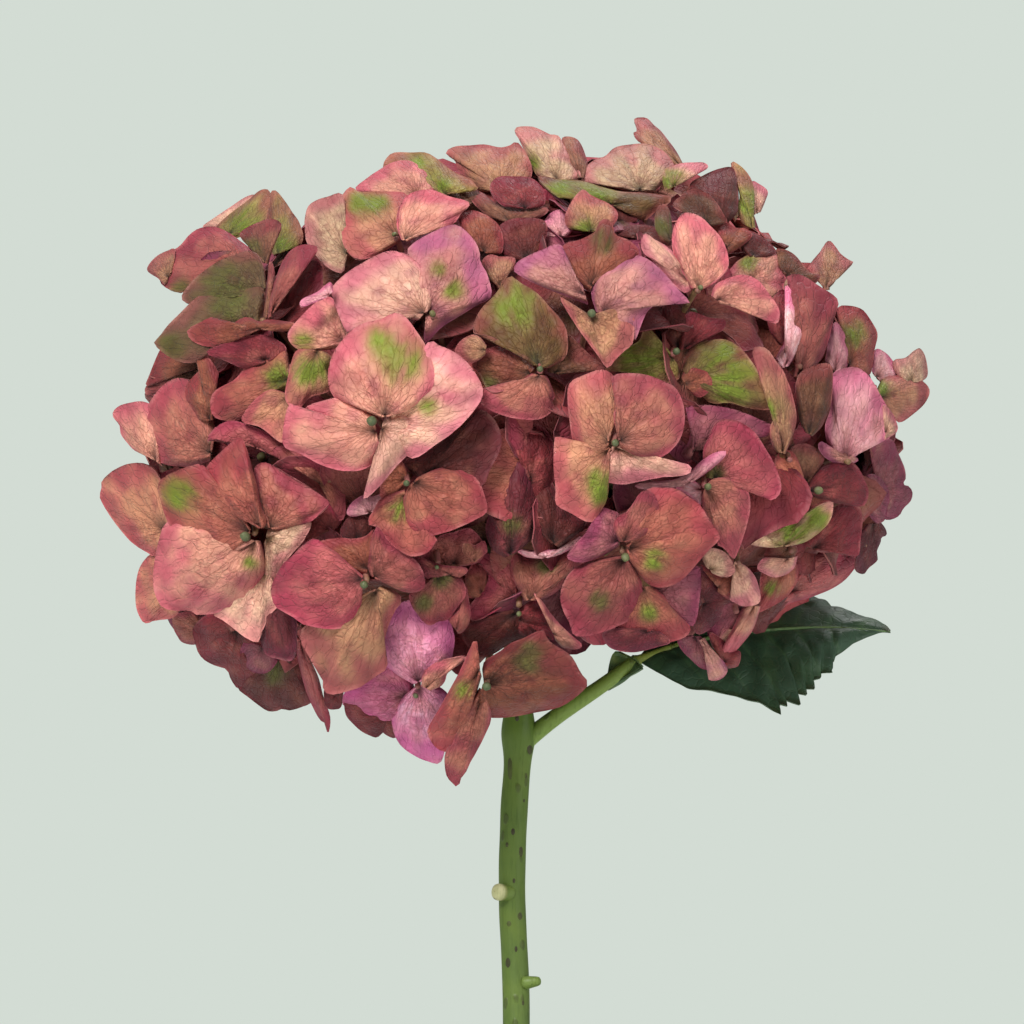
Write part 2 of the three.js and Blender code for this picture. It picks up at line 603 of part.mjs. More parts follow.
function backFlorets() {
  const draw = drawsFrom(11);
  const between = (low, high) => low + (high - low) * draw();
  const solids = [];
  for (let i = 0; i < BACK_COUNT; i += 1) {
    const height = 1 - (2 * (i + 0.5)) / BACK_COUNT;
    const ring = Math.sqrt(1 - height ** 2);
    const angle = i * GOLDEN_ANGLE;
    const shell = BACK_SHELL * (i % 2 ? 0.92 : 1.04);
    const eye = HEAD_CENTRE.clone().add(new THREE.Vector3(
      (shell * ring * Math.cos(angle) * HEAD_WIDTH) / 2,
      (shell * ring * Math.sin(angle) * HEAD_DEPTH) / 2,
      (shell * height * HEAD_HEIGHT) / 2,
    ));
    if (eye.x > LEAF_SIDE_X && eye.z < LEAF_SHADE_Z) eye.z += LEAF_LIFT;
    const face = domeNormal(eye);
    face.z += between(-0.15, 0.15);
    face.normalize();
    const across = new THREE.Vector3(0, 0, 1).cross(face).normalize();
    const along = face.clone().cross(across);
    const turn = between(0, Math.PI / 2);
    const sepals = [0, 1, 2, 3].map((quarter) => {
      const bearing = turn + (quarter * Math.PI) / 2 + between(-0.06, 0.06);
      const length = between(22, 27);
      const tip = eye.clone()
        .addScaledVector(across, length * Math.cos(bearing))
        .addScaledVector(along, length * Math.sin(bearing))
        .addScaledVector(face, between(-5, 2));
      return { tip, width: between(20, 25), roll: between(-5, 5) };
    });
    if (ring * Math.sin(angle) > BACK_START && height > SKIRT) solids.push(...starFloret(eye, face, sepals));
  }
  return solids;
}

function coreSolid() {
  const rings = [];
  const steps = 8;
  for (let i = 0; i <= steps; i += 1) {
    const polar = Math.PI * (0.06 + (0.88 * i) / steps);
    rings.push(Array.from({ length: 12 }, (_, k) => {
      const angle = (Math.PI * k) / 6;
      return HEAD_CENTRE.clone().add(new THREE.Vector3(
        (CORE_SHARE * HEAD_WIDTH * Math.sin(polar) * Math.cos(angle)) / 2,
        (CORE_SHARE * HEAD_DEPTH * Math.sin(polar) * Math.sin(angle)) / 2 - CORE_FORWARD,
        (-CORE_SHARE * HEAD_HEIGHT * Math.cos(polar)) / 2,
      ));
    }));
  }
  return ringTube(rings);
}

function flowerHeadGeometry() {
  const fused = wasm.Manifold.union([
    coreSolid(), ...FRONT_FLORETS.flatMap(frontFloret), ...backFlorets()]);
  return outerSkin(fused.subtract(stemHole()), FUSE_TOLERANCE);
}

// ---------------------------------------------------------------- assembly

const hydrangea = new THREE.Group();

function addPiece(name, geometry, colour, roughness) {
  const material = new THREE.MeshStandardMaterial({ color: colour, roughness, metalness: 0 });
  const mesh = new THREE.Mesh(geometry, material);
  mesh.name = name;
  hydrangea.add(mesh);
}

addPiece("jar", jarGeometry(), 0xdfeae6, 0.05);
addPiece("water", waterBody(), 0xd5e6e4, 0.02);
addPiece("stem", stemGeometry(), 0x5f7d32, 0.6);
addPiece("leaf", leafGeometry(), 0x233c2d, 0.5);
addPiece("flower_head", flowerHeadGeometry(), 0xc07a78, 0.75);

export default hydrangea;
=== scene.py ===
"""A cut hydrangea head on one leafy stem, standing in a plain glass jar of water."""

import math

import bpy
import numpy as np
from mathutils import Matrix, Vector


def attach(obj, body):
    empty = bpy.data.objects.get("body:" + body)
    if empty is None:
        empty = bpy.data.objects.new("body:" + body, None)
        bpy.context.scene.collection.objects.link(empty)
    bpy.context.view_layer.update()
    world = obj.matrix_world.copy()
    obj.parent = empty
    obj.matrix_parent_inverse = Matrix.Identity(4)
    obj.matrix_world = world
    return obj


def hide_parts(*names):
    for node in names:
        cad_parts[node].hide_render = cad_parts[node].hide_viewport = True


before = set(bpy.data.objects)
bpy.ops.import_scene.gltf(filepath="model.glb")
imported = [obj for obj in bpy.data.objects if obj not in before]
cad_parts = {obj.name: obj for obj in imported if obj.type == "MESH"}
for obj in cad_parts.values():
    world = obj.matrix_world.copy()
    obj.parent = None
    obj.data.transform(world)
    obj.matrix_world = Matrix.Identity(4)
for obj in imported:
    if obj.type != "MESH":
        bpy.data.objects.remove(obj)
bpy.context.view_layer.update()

MM = 0.001
BODY = "root"

# ---------------------------------------------------------------- the photograph's view
# Lengths are in millimetres until a mesh is made. The view is level, along +Y, from VIEW_DISTANCE
# before the stem; one pixel of the 1024-pixel photograph is MM_PER_PIXEL there.

MM_PER_PIXEL = 0.22
VIEW_DISTANCE = 1400.0
FRAME_PIXELS = 1024
FRAME_CENTRE_PIXEL = 512
STEM_PIXEL_X = 518
HEAD_CENTRE_PIXEL = (514, 440)
FRAME_FOOT_Z = 140.0
STEM_Y = 22.0
VIEW_X = (FRAME_CENTRE_PIXEL - STEM_PIXEL_X) * MM_PER_PIXEL
VIEW_Z = FRAME_FOOT_Z + FRAME_CENTRE_PIXEL * MM_PER_PIXEL
CAMERA_PLACE = np.array([VIEW_X, STEM_Y - VIEW_DISTANCE, VIEW_Z])


def at_pixel(x, y, depth):
    """The place that the photograph shows at a pixel, at a depth along +Y."""
    scale = MM_PER_PIXEL * (1 + (depth - STEM_Y) / VIEW_DISTANCE)
    return np.array([
        VIEW_X + (x - FRAME_CENTRE_PIXEL) * scale,
        depth,
        VIEW_Z - (y - FRAME_CENTRE_PIXEL) * scale,
    ])


def seen_on(pixels, place, face):
    """Where the lines of sight through some pixels meet the plane through a place."""
    x, y = pixels[..., 0], pixels[..., 1]
    sight = np.stack([(x - FRAME_CENTRE_PIXEL) * MM_PER_PIXEL, np.full(x.shape, VIEW_DISTANCE),
                      (FRAME_CENTRE_PIXEL - y) * MM_PER_PIXEL], axis=-1)
    reach = (place - CAMERA_PLACE).dot(face) / sight.dot(face)
    return CAMERA_PLACE + reach[..., None] * sight


# ---------------------------------------------------------------- camera, light, floor

SENSOR_MM = 36.0
FURTHEST_SEEN_M = 20
BACKDROP = (211, 220, 212)
AMBIENT = 0.42
# Round lamps that face the head: place, width and power, in metres and watts.
LAMPS = {
    "key": ((-0.55, -1.3, 1.35), 0.7, 32),
    "fill": ((1.3, -1.0, 0.5), 1.0, 5),
    "top": ((0.2, 0.6, 1.3), 0.8, 7),
}
FLOOR_RADIUS = 1.5
FLOOR_SIDES = 128
FLOOR_TINT = (222, 228, 223)


def linear(colour):
    """An sRGB colour of 0 to 255 as the linear values that Blender shades with."""
    share = np.asarray(colour, dtype=float) / 255
    return np.where(share <= 0.04045, share / 12.92, ((share + 0.055) / 1.055) ** 2.4)


def add_camera():
    data = bpy.data.cameras.new("camera")
    data.sensor_width = SENSOR_MM
    data.lens = SENSOR_MM * VIEW_DISTANCE / (FRAME_PIXELS * MM_PER_PIXEL)
    data.clip_end = FURTHEST_SEEN_M
    camera = bpy.data.objects.new("camera", data)
    camera.location = Vector(CAMERA_PLACE) * MM
    camera.rotation_euler = (math.pi / 2, 0, 0)
    bpy.context.collection.objects.link(camera)
    bpy.context.scene.camera = camera
    bpy.context.scene.view_settings.view_transform = "Standard"


def add_lamp(name, place, target, size, watts):
    data = bpy.data.lights.new(name, "AREA")
    data.shape = "DISK"
    data.size = size
    data.energy = watts
    lamp = bpy.data.objects.new(name, data)
    lamp.location = place
    lamp.rotation_euler = (Vector(target) - Vector(place)).to_track_quat("-Z", "Y").to_euler()
    bpy.context.collection.objects.link(lamp)


def add_world():
    """The pale backdrop, which lights the scene with only a share of its brightness."""
    world = bpy.data.worlds.new("studio")
    world.use_nodes = True
    tree = world.node_tree
    background = tree.nodes["Background"]
    background.inputs["Color"].default_value = (*linear(BACKDROP), 1)
    seen = tree.nodes.new("ShaderNodeLightPath")
    strength = tree.nodes.new("ShaderNodeMapRange")
    strength.inputs["To Min"].default_value = AMBIENT
    tree.links.new(seen.outputs["Is Camera Ray"], strength.inputs["Value"])
    tree.links.new(strength.outputs["Result"], background.inputs["Strength"])
    bpy.context.scene.world = world


def add_floor():
    """A plain pale disc, small enough to stay out of the photograph's level view."""
    turns = round_angles(FLOOR_SIDES)
    points = [(FLOOR_RADIUS * math.cos(a), FLOOR_RADIUS * math.sin(a), 0) for a in turns]
    mesh = bpy.data.meshes.new("floor")
    mesh.from_pydata(points, [], [list(range(FLOOR_SIDES))])
    floor = bpy.data.objects.new("floor", mesh)
    bpy.context.collection.objects.link(floor)
    material = bpy.data.materials.new("floor")
    material.use_nodes = True
    shader = material.node_tree.nodes["Principled BSDF"]
    shader.inputs["Base Color"].default_value = (*linear(FLOOR_TINT), 1)
    shader.inputs["Roughness"].default_value = 0.8
    mesh.materials.append(material)


# ---------------------------------------------------------------- meshes and shaders


class Sheets:
    """Gathers grids of points into one mesh, with a colour and two texture places at each point."""

    def __init__(self):
        self.points, self.tints, self.fans, self.flats, self.faces, self.slots = [], [], [], [], [], []
        self.count = 0

    def add(self, points, faces, tints, fans=None, flats=None, slot=0):
        points = np.asarray(points, dtype=float).reshape(-1, 3)
        faces = np.asarray(faces, dtype=int)
        none = np.zeros((len(points), 2))
        self.points.append(points)
        self.tints.append(np.broadcast_to(np.asarray(tints, dtype=float), (len(points), 3)))
        self.fans.append(none if fans is None else np.asarray(fans).reshape(-1, 2))
        self.flats.append(none if flats is None else np.asarray(flats).reshape(-1, 2))
        self.faces.append(faces + self.count)
        self.slots.append(np.full(len(faces), slot))
        self.count += len(points)

    def build(self, name, materials, node):
        """The gathered mesh as a smooth-shaded piece that stands for a node of the frame."""
        points = np.concatenate(self.points) * MM
        faces = np.concatenate(self.faces)
        mesh = bpy.data.meshes.new(name)
        mesh.vertices.add(len(points))
        mesh.vertices.foreach_set("co", points.ravel())
        mesh.loops.add(faces.size)
        mesh.loops.foreach_set("vertex_index", faces.ravel())
        mesh.polygons.add(len(faces))
        mesh.polygons.foreach_set("loop_start", np.arange(0, faces.size, 4))
        mesh.polygons.foreach_set("loop_total", np.full(len(faces), 4))
        mesh.polygons.foreach_set("material_index", np.concatenate(self.slots))
        mesh.polygons.foreach_set("use_smooth", np.ones(len(faces), dtype=bool))
        tint = mesh.color_attributes.new("tint", "FLOAT_COLOR", "POINT")
        colours = linear(np.clip(np.concatenate(self.tints), 0, 255))
        tint.data.foreach_set("color", np.concatenate([colours, np.ones((len(points), 1))], axis=1).ravel())
        for layer, places in (("fan", self.fans), ("flat", self.flats)):
            uv = mesh.uv_layers.new(name=layer)
            uv.data.foreach_set("uv", np.concatenate(places)[faces.ravel()].ravel())
        for material in materials:
            mesh.materials.append(material)
        mesh.update(calc_edges=True)
        mesh.validate()
        piece = bpy.data.objects.new(name, mesh)
        bpy.context.collection.objects.link(piece)
        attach(piece, BODY)
        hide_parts(node)


def grid_faces(rows, columns, closed=False):
    """Four-sided faces over a grid of points, numbered row by row; closed joins its last column."""
    across = columns if closed else columns - 1
    row, column = np.meshgrid(np.arange(rows - 1), np.arange(across), indexing="ij")
    first = (row * columns + column).ravel()
    second = (row * columns + (column + 1) % columns).ravel()
    return np.stack([first, second, second + columns, first + columns], axis=1)


def unit(vector):
    vector = np.asarray(vector, dtype=float)
    return vector / np.linalg.norm(vector, axis=-1, keepdims=True)


def smooth(low, high, value):
    share = np.clip((value - low) / (high - low), 0, 1)
    return share * share * (3 - 2 * share)


def mix(first, second, share):
    share = np.asarray(share)[..., None]
    return np.asarray(first) * (1 - share) + np.asarray(second) * share


def round_angles(count):
    return np.linspace(0, 2 * math.pi, count, endpoint=False)


def square_to(grid):
    """A vector square to a grid of places, at each of them."""
    return np.cross(np.gradient(grid, axis=0), np.gradient(grid, axis=1))


def ripples(x, y, random, waves, shortest, longest):
    """A smooth random field of about -1 to 1, of sine waves of the given lengths."""
    field = np.zeros(np.shape(x))
    for _ in range(waves):
        length = random.uniform(shortest, longest)
        turn = random.uniform(0, 2 * math.pi)
        phase = random.uniform(0, 2 * math.pi)
        field = field + np.sin(2 * math.pi * (x * math.cos(turn) + y * math.sin(turn)) / length + phase)
    return field / math.sqrt(waves)


# The rings of a tube's rounded end: how far beyond it and how wide, as shares of its radius.
END_RINGS = ((0.25, 0.6), (0.35, 0.05))


def tube(sheets, path, radii, tints, sides, slot=0):
    """A closed round tube through a path's points, with a rounded end at each side."""
    path = np.asarray(path, dtype=float)
    radii = np.broadcast_to(np.asarray(radii, dtype=float), len(path))
    tints = np.broadcast_to(np.asarray(tints, dtype=float), (len(path), 3))
    tangents = unit(np.gradient(path, axis=0))
    side = np.array([1.0, 0.0, 0.0]) if abs(tangents[0][0]) < 0.9 else np.array([0.0, 1.0, 0.0])
    rings, colours, places = [], [], []
    turns = round_angles(sides)
    along = 0.0
    for index, (centre, tangent, radius) in enumerate(zip(path, tangents, radii)):
        side = unit(side - tangent * side.dot(tangent))
        up = np.cross(tangent, side)
        if index:
            along += np.linalg.norm(centre - path[index - 1])
        rings.append(centre + radius * (np.outer(np.cos(turns), side) + np.outer(np.sin(turns), up)))
        colours.append(np.repeat(tints[index][None], sides, axis=0))
        places.append(np.stack([turns * radius, np.full(sides, along)], axis=1))
    for end, outward in ((0, -1), (-1, 1)):
        ends = [path[end] + outward * far * radii[end] * tangents[end] + wide * (rings[end] - path[end])
                for far, wide in END_RINGS]
        if end == 0:
            rings = ends[::-1] + rings
            colours = [colours[0]] * len(ends) + colours
            places = [places[0]] * len(ends) + places
        else:
            rings = rings + ends
            colours = colours + [colours[-1]] * len(ends)
            places = places + [places[-1]] * len(ends)
    points = np.concatenate(rings)
    sheets.add(points, grid_faces(len(rings), sides, closed=True), np.concatenate(colours),
               np.concatenate(places), slot=slot)


def curve_through(places, steps):
    """A smooth curve through a few places (Catmull-Rom), as steps + 1 points."""
    places = np.asarray(places, dtype=float)
    padded = np.vstack([2 * places[0] - places[1], places, 2 * places[-1] - places[-2]])
    spans = len(places) - 1
    points = []
    for share in np.linspace(0, spans, steps + 1):
        span = min(int(share), spans - 1)
        t = share - span
        a, b, c, d = padded[span:span + 4]
        points.append(0.5 * (2 * b + (c - a) * t + (2 * a - 5 * b + 4 * c - d) * t ** 2
                             + (3 * b - a - 3 * c + d) * t ** 3))
    return np.array(points)


def along_path(path, shares):
    """Places at shares of the length of a path of straight pieces."""
    walked = np.concatenate([[0], np.cumsum(np.linalg.norm(np.diff(path, axis=0), axis=1))])
    stops = shares * walked[-1]
    return np.stack([np.interp(stops, walked, path[:, axis]) for axis in range(path.shape[1])], axis=1)


# ---------------------------------------------------------------- materials
# A pattern's scale counts for each metre of an object's own place, and for each centimetre of a sepal's
# flat place. A fan place runs from 0 at a sepal's base to 1 at its rim, and from -1 to 1 across it.

SPECK_OLIVE = (112, 106, 74)
BARK_PALE = (116, 134, 52)
BARK_DULL = (60, 84, 30)
BARK_FIBRE = (58, 78, 30)
BARK_PORE = (62, 58, 34)
BLADE_BLUISH = (44, 72, 54)
BLADE_NET = (70, 96, 62)
CLEAR_GLASS = (0.97, 0.99, 0.98, 1)
CLEAR_WATER = (0.96, 0.985, 0.97, 1)
GLASS_BENDING = 1.46
WATER_BENDING = 1.33


def rgba(colour):
    return (*linear(colour), 1)


class Shading:
    """A material's shader nodes, with its colour and bump made from a few plain steps."""

    def __init__(self, name):
        self.material = bpy.data.materials.new(name)
        self.material.use_nodes = True
        self.tree = self.material.node_tree
        self.shader = self.tree.nodes["Principled BSDF"]

    def make(self, kind, **settings):
        node = self.tree.nodes.new(kind)
        for key, value in settings.items():
            setattr(node, key, value)
        return node

    def feed(self, socket, source):
        if isinstance(source, bpy.types.NodeSocket):
            self.tree.links.new(source, socket)
        else:
            socket.default_value = source

    def place(self):
        return self.make("ShaderNodeTexCoord").outputs["Object"]

    def tint(self):
        return self.make("ShaderNodeVertexColor", layer_name="tint").outputs["Color"]

    def fan(self):
        split = self.make("ShaderNodeSeparateXYZ")
        self.feed(split.inputs[0], self.make("ShaderNodeUVMap", uv_map="fan").outputs["UV"])
        return split.outputs["X"], split.outputs["Y"]

    def math(self, operation, first, second=0.0, third=0.0):
        node = self.make("ShaderNodeMath", operation=operation)
        for socket, source in zip(node.inputs, (first, second, third)):
            self.feed(socket, source)
        return node.outputs[0]

    def ease(self, value, low, high, start=0.0, end=1.0):
        """start at low and end at high, eased between them."""
        node = self.make("ShaderNodeMapRange", interpolation_type="SMOOTHSTEP")
        self.feed(node.inputs["Value"], value)
        node.inputs["From Min"].default_value = low
        node.inputs["From Max"].default_value = high
        node.inputs["To Min"].default_value = start
        node.inputs["To Max"].default_value = end
        return node.outputs["Result"]

    def blend(self, share, first, second, kind="MIX"):
        node = self.make("ShaderNodeMix", data_type="RGBA", blend_type=kind)
        self.feed(node.inputs[0], share)
        self.feed(node.inputs[6], first)
        self.feed(node.inputs[7], second)
        return node.outputs[2]

    def noise(self, place, scale, detail, roughness=0.55):
        node = self.make("ShaderNodeTexNoise")
        self.feed(node.inputs["Vector"], place)
        node.inputs["Scale"].default_value = scale
        node.inputs["Detail"].default_value = detail
        node.inputs["Roughness"].default_value = roughness
        return node.outputs["Fac"]

    def drifted(self, place, scale, distance):
        """The place, pushed about by a smooth noise."""
        noise = self.make("ShaderNodeTexNoise")
        self.feed(noise.inputs["Vector"], place)
        noise.inputs["Scale"].default_value = scale
        push = self.make("ShaderNodeVectorMath", operation="SCALE")
        self.feed(push.inputs[0], noise.outputs["Color"])
        push.inputs["Scale"].default_value = distance
        total = self.make("ShaderNodeVectorMath", operation="ADD")
        self.feed(total.inputs[0], place)
        self.feed(total.inputs[1], push.outputs[0])
        return total.outputs[0]

    def net(self, place, scale):
        """Distance from the nearest line of a net of cells."""
        node = self.make("ShaderNodeTexVoronoi", feature="DISTANCE_TO_EDGE")
        self.feed(node.inputs["Vector"], place)
        node.inputs["Scale"].default_value = scale
        return node.outputs["Distance"]

    def bump(self, height, distance, strength):
        node = self.make("ShaderNodeBump")
        self.feed(node.inputs["Height"], height)
        node.inputs["Distance"].default_value = distance
        node.inputs["Strength"].default_value = strength
        self.tree.links.new(node.outputs["Normal"], self.shader.inputs["Normal"])

    def colour(self, source):
        self.feed(self.shader.inputs["Base Color"], source)

    def plain(self, **values):
        for key, value in values.items():
            self.shader.inputs[key.replace("_", " ")].default_value = value


def sepal_material():
    """Papery, faded sepals: a painted tint, tan blisters with a painted highlight, painted shade between
    them and in fine creases, darker veins, a fine midrib.
    """
    make = Shading("sepal")
    place = make.place()
    along, across = make.fan()
    flat = make.make("ShaderNodeUVMap", uv_map="flat").outputs["UV"]
    blotch = make.noise(place, 120.0, 4.0, 0.6)
    broad = make.noise(flat, 0.35, 2.0, 0.5)
    speck = make.noise(place, 900.0, 3.0, 0.6)
    blister = make.net(make.drifted(flat, 4.0, 0.42), 5.0)
    fan_place = make.make("ShaderNodeCombineXYZ")
    make.feed(fan_place.inputs[0], make.math("MULTIPLY", across, 1.5))
    make.feed(fan_place.inputs[1], along)
    branched = make.net(make.drifted(fan_place.outputs[0], 5.0, 0.16), 7.0)
    vein = make.ease(branched, 0.0, 0.11, 1.0, 0.0)

    wander = make.math("MULTIPLY_ADD", blotch, 6.0, make.math("MULTIPLY", across, 15.0))
    fan_line = make.ease(make.math("ABSOLUTE", make.math("SINE", wander)), 0.0, 0.26, 1.0, 0.0)
    mid_line = make.ease(make.math("ABSOLUTE", across), 0.0, 0.028, 1.0, 0.0)
    raised = make.ease(blister, 0.0, 0.36)
    inner = make.ease(along, 0.98, 0.40)
    rough_part = make.math("MULTIPLY", inner, make.ease(broad, 0.36, 0.60, 0.15, 1.0))
    blistered = make.math("MULTIPLY", raised, rough_part)
    ridge = make.math("ABSOLUTE", make.math("SUBTRACT", make.noise(place, 330.0, 2.0, 0.5), 0.5))
    creased = make.ease(ridge, 0.0, 0.022, 1.0, 0.0)

    def toned(base, share, gain):
        """The base times a gain for red, green and blue, where the share is 1."""
        return make.blend(share, base, (*gain, 1), "MULTIPLY")

    base = toned(make.tint(), make.ease(blotch, 0.50, 0.74), (1.18, 1.27, 1.22))
    base = toned(base, make.ease(blotch, 0.50, 0.28), (0.76, 0.62, 0.68))
    # Paler raised blisters: partly their own tan colour, partly a painted highlight on their tops.
    base = toned(base, make.math("MULTIPLY", blistered, 0.6), (1.18, 1.30, 1.20))
    # Painted shade in the hollows between the blisters.
    sunk = make.math("MULTIPLY", make.ease(raised, 0.50, 0.0), rough_part)
    base = toned(base, make.math("MULTIPLY", sunk, 0.40), (0.66, 0.52, 0.52))
    dark_vein = make.math("MULTIPLY", vein, make.ease(along, 0.95, 0.30, 0.03, 0.44))
    base = toned(base, dark_vein, (0.74, 0.54, 0.50))
    # Painted shade along fine creases.
    base = toned(base, make.math("MULTIPLY", creased, 0.30), (0.74, 0.62, 0.66))
    near_bud = make.ease(along, 0.75, 0.12, 0.0, 0.60)
    base = toned(base, make.math("MULTIPLY", fan_line, near_bud), (0.46, 0.38, 0.38))
    base = toned(base, make.math("MULTIPLY", mid_line, 0.45), (1.20, 1.36, 1.30))
    base = toned(base, make.ease(speck, 0.62, 0.80, 0.0, 0.60), (0.62, 0.48, 0.54))
    make.colour(base)

    height = make.math("MULTIPLY", blistered, 0.60)
    for relief, share in ((blotch, 1.2), (creased, -0.06), (vein, -0.30), (speck, 0.14), (fan_line, -0.20)):
        height = make.math("MULTIPLY_ADD", relief, share, height)
    make.bump(height, 0.00050, 0.85)
    make.feed(make.shader.inputs["Roughness"], make.ease(speck, 0.2, 0.8, 0.52, 0.72))
    make.plain(Specular_IOR_Level=0.28, Sheen_Weight=0.05, Sheen_Roughness=0.5)
    return make.material


def bud_material():
    make = Shading("bud")
    place = make.place()
    speck = make.noise(place, 1400.0, 2.0)
    make.colour(make.blend(make.ease(speck, 0.4, 0.7, 0.0, 0.4), make.tint(), rgba(SPECK_OLIVE)))
    make.bump(speck, 0.0002, 0.8)
    make.feed(make.shader.inputs["Roughness"], make.ease(speck, 0.3, 0.7, 0.45, 0.65))
    return make.material


def stem_material():
    """Green bark with fine lengthwise fibres, paler and duller patches and small dark pores."""
    make = Shading("stem")
    place = make.place()
    stretch = make.make("ShaderNodeMapping")
    make.feed(stretch.inputs["Vector"], place)
    stretch.inputs["Scale"].default_value = (1.0, 1.0, 0.10)
    fibre = make.noise(stretch.outputs[0], 1500.0, 3.0, 0.6)
    patch = make.noise(place, 95.0, 4.0, 0.6)
    pore_place = make.make("ShaderNodeMapping")
    make.feed(pore_place.inputs["Vector"], make.drifted(place, 300.0, 0.001))
    pore_place.inputs["Scale"].default_value = (1.0, 1.0, 0.5)
    pores = make.make("ShaderNodeTexVoronoi", feature="F1")
    make.feed(pores.inputs["Vector"], pore_place.outputs[0])
    pores.inputs["Scale"].default_value = 330.0
    pore = make.ease(pores.outputs["Distance"], 0.16, 0.26, 1.0, 0.0)
    base = make.blend(make.ease(patch, 0.40, 0.72, 0.0, 0.45), make.tint(), rgba(BARK_PALE))
    base = make.blend(make.ease(patch, 0.44, 0.26, 0.0, 0.50), base, rgba(BARK_DULL))
    base = make.blend(make.ease(fibre, 0.50, 0.72, 0.0, 0.28), base, rgba(BARK_FIBRE))
    base = make.blend(make.math("MULTIPLY", pore, 0.45), base, rgba(BARK_PORE))
    make.colour(base)
    height = make.math("MULTIPLY_ADD", fibre, 0.6, make.math("MULTIPLY", pore, 0.8))
    make.bump(height, 0.0003, 0.8)
    make.feed(make.shader.inputs["Roughness"], make.ease(fibre, 0.3, 0.7, 0.42, 0.62))
    make.plain(Specular_IOR_Level=0.4)
    return make.material


def leaf_material():
    """Deep green, slightly glossy blade, puckered between its side veins."""
    make = Shading("leaf")
    place = make.place()
    patch = make.noise(place, 80.0, 4.0, 0.6)
    bent = make.drifted(place, 200.0, 0.0030)
    net = make.net(bent, 420.0)
    line = make.ease(net, 0.0, 0.10, 1.0, 0.0)
    base = make.blend(make.ease(patch, 0.40, 0.70, 0.0, 0.45), make.tint(), rgba(BLADE_BLUISH))
    base = make.blend(make.math("MULTIPLY", line, 0.12), base, rgba(BLADE_NET))
    make.colour(base)
    height = make.math("SUBTRACT", make.math("MULTIPLY", patch, 0.8), make.math("MULTIPLY", line, 0.15))
    make.bump(height, 0.0004, 0.8)
    make.feed(make.shader.inputs["Roughness"], make.ease(patch, 0.3, 0.7, 0.40, 0.58))
    make.plain(Specular_IOR_Level=0.45)
    return make.material


def glass_material():
    make = Shading("glass")
    ripple = make.noise(make.place(), 30.0, 2.0)
    make.colour(CLEAR_GLASS)
    make.bump(ripple, 0.0004, 0.25)
    make.feed(make.shader.inputs["Roughness"], make.ease(ripple, 0.3, 0.7, 0.015, 0.05))
    make.plain(Transmission_Weight=1.0, IOR=GLASS_BENDING)
    return make.material


def water_material():
    make = Shading("water")
    ripple = make.noise(make.place(), 40.0, 2.0)
    make.colour(CLEAR_WATER)
    make.bump(ripple, 0.0002, 0.15)
    make.feed(make.shader.inputs["Roughness"], make.ease(ripple, 0.3, 0.7, 0.0, 0.02))
    make.plain(Transmission_Weight=1.0, IOR=WATER_BENDING)
    return make.material


# ---------------------------------------------------------------- one sepal

# Each tone: the sepal's middle, its rim, and its base near the bud, which is darker partly as painted
# shade.
TONES = {
    "cream": ((228, 168, 154), (204, 138, 126), (176, 128, 104)),
    "beige": ((190, 144, 126), (178, 112, 106), (152, 110, 90)),
    "blush": ((216, 150, 142), (204, 118, 126), (176, 112, 100)),
    "pink": ((206, 130, 122), (192, 96, 106), (162, 98, 88)),
    "salmon": ((192, 120, 102), (178, 84, 88), (150, 94, 78)),
    "tan": ((170, 112, 92), (160, 82, 82), (132, 90, 72)),
    "rosesalmon": ((172, 94, 88), (160, 68, 80), (132, 74, 66)),
    "coral": ((164, 84, 76), (154, 60, 68), (126, 66, 58)),
    "orange": ((210, 114, 98), (158, 72, 70), (134, 80, 64)),
    "rose": ((148, 72, 72), (140, 52, 66), (110, 52, 50)),
    "deeppink": ((170, 78, 86), (160, 54, 76), (128, 56, 62)),
    "lightpink": ((250, 164, 184), (212, 114, 142), (170, 92, 104)),
    "lilac": ((190, 118, 120), (172, 92, 124), (146, 84, 88)),
    "heather": ((208, 100, 142), (190, 80, 134), (152, 84, 96)),
    "moss": ((96, 68, 50), (128, 78, 68), (84, 66, 48)),
    "orchid": ((250, 146, 188), (212, 106, 162), (166, 88, 112)),
    "mauve": ((148, 74, 90), (136, 54, 82), (108, 50, 64)),
    "plum": ((96, 29, 40), (104, 38, 56), (72, 28, 36)),
    "crimson": ((124, 42, 50), (122, 40, 54), (84, 30, 34)),
    "maroon": ((92, 33, 33), (108, 42, 48), (66, 28, 28)),
    "brown": ((134, 80, 68), (138, 64, 66), (100, 62, 50)),
    "rust": ((132, 66, 54), (136, 54, 58), (98, 52, 42)),
    "umber": ((92, 52, 39), (124, 58, 54), (78, 50, 38)),
    "olive": ((98, 66, 38), (136, 68, 60), (84, 70, 42)),
    "green": ((144, 118, 66), (152, 94, 78), (106, 92, 52)),
}
PATCH_OLIVE = (130, 120, 62)
PATCH_GREEN = (112, 132, 34)
DULL_TONES = (
    "rose", "rosesalmon", "deeppink", "mauve", "plum", "crimson", "maroon", "rust", "orange", "brown",
    "umber", "moss",
)
DULL_SHARE = 0.70
# The colour of a painted highlight along each sepal's rim.
RIM_HIGHLIGHT = (222, 158, 150)
MOTTLE_PALE = (226, 172, 132)
UNDERSIDE = (196, 128, 116)

SEPAL_ARCH = 0.09
SEPAL_BASE_SHARE = 0.05
HALF_THICKNESS = 0.16
MM_PER_CM = 10
LONGEST_SHIFT = 400


def sepal_margin(share, random):
    """How far along and to the side the margin lies, for -1 at one side of the base to 1 at the other."""
    along = 1 - 0.975 * np.abs(share) ** random.uniform(1.7, 2.0)
    shape = random.uniform(0.46, 0.60)
    blunt = random.uniform(0.42, 0.74)
    peak = shape / (shape + blunt)
    side = along ** shape * (1 - along) ** blunt / (peak ** shape * (1 - peak) ** blunt)
    skew = 1 + random.uniform(-0.12, 0.12) * np.sign(share)
    return along, side * np.sign(share) * skew


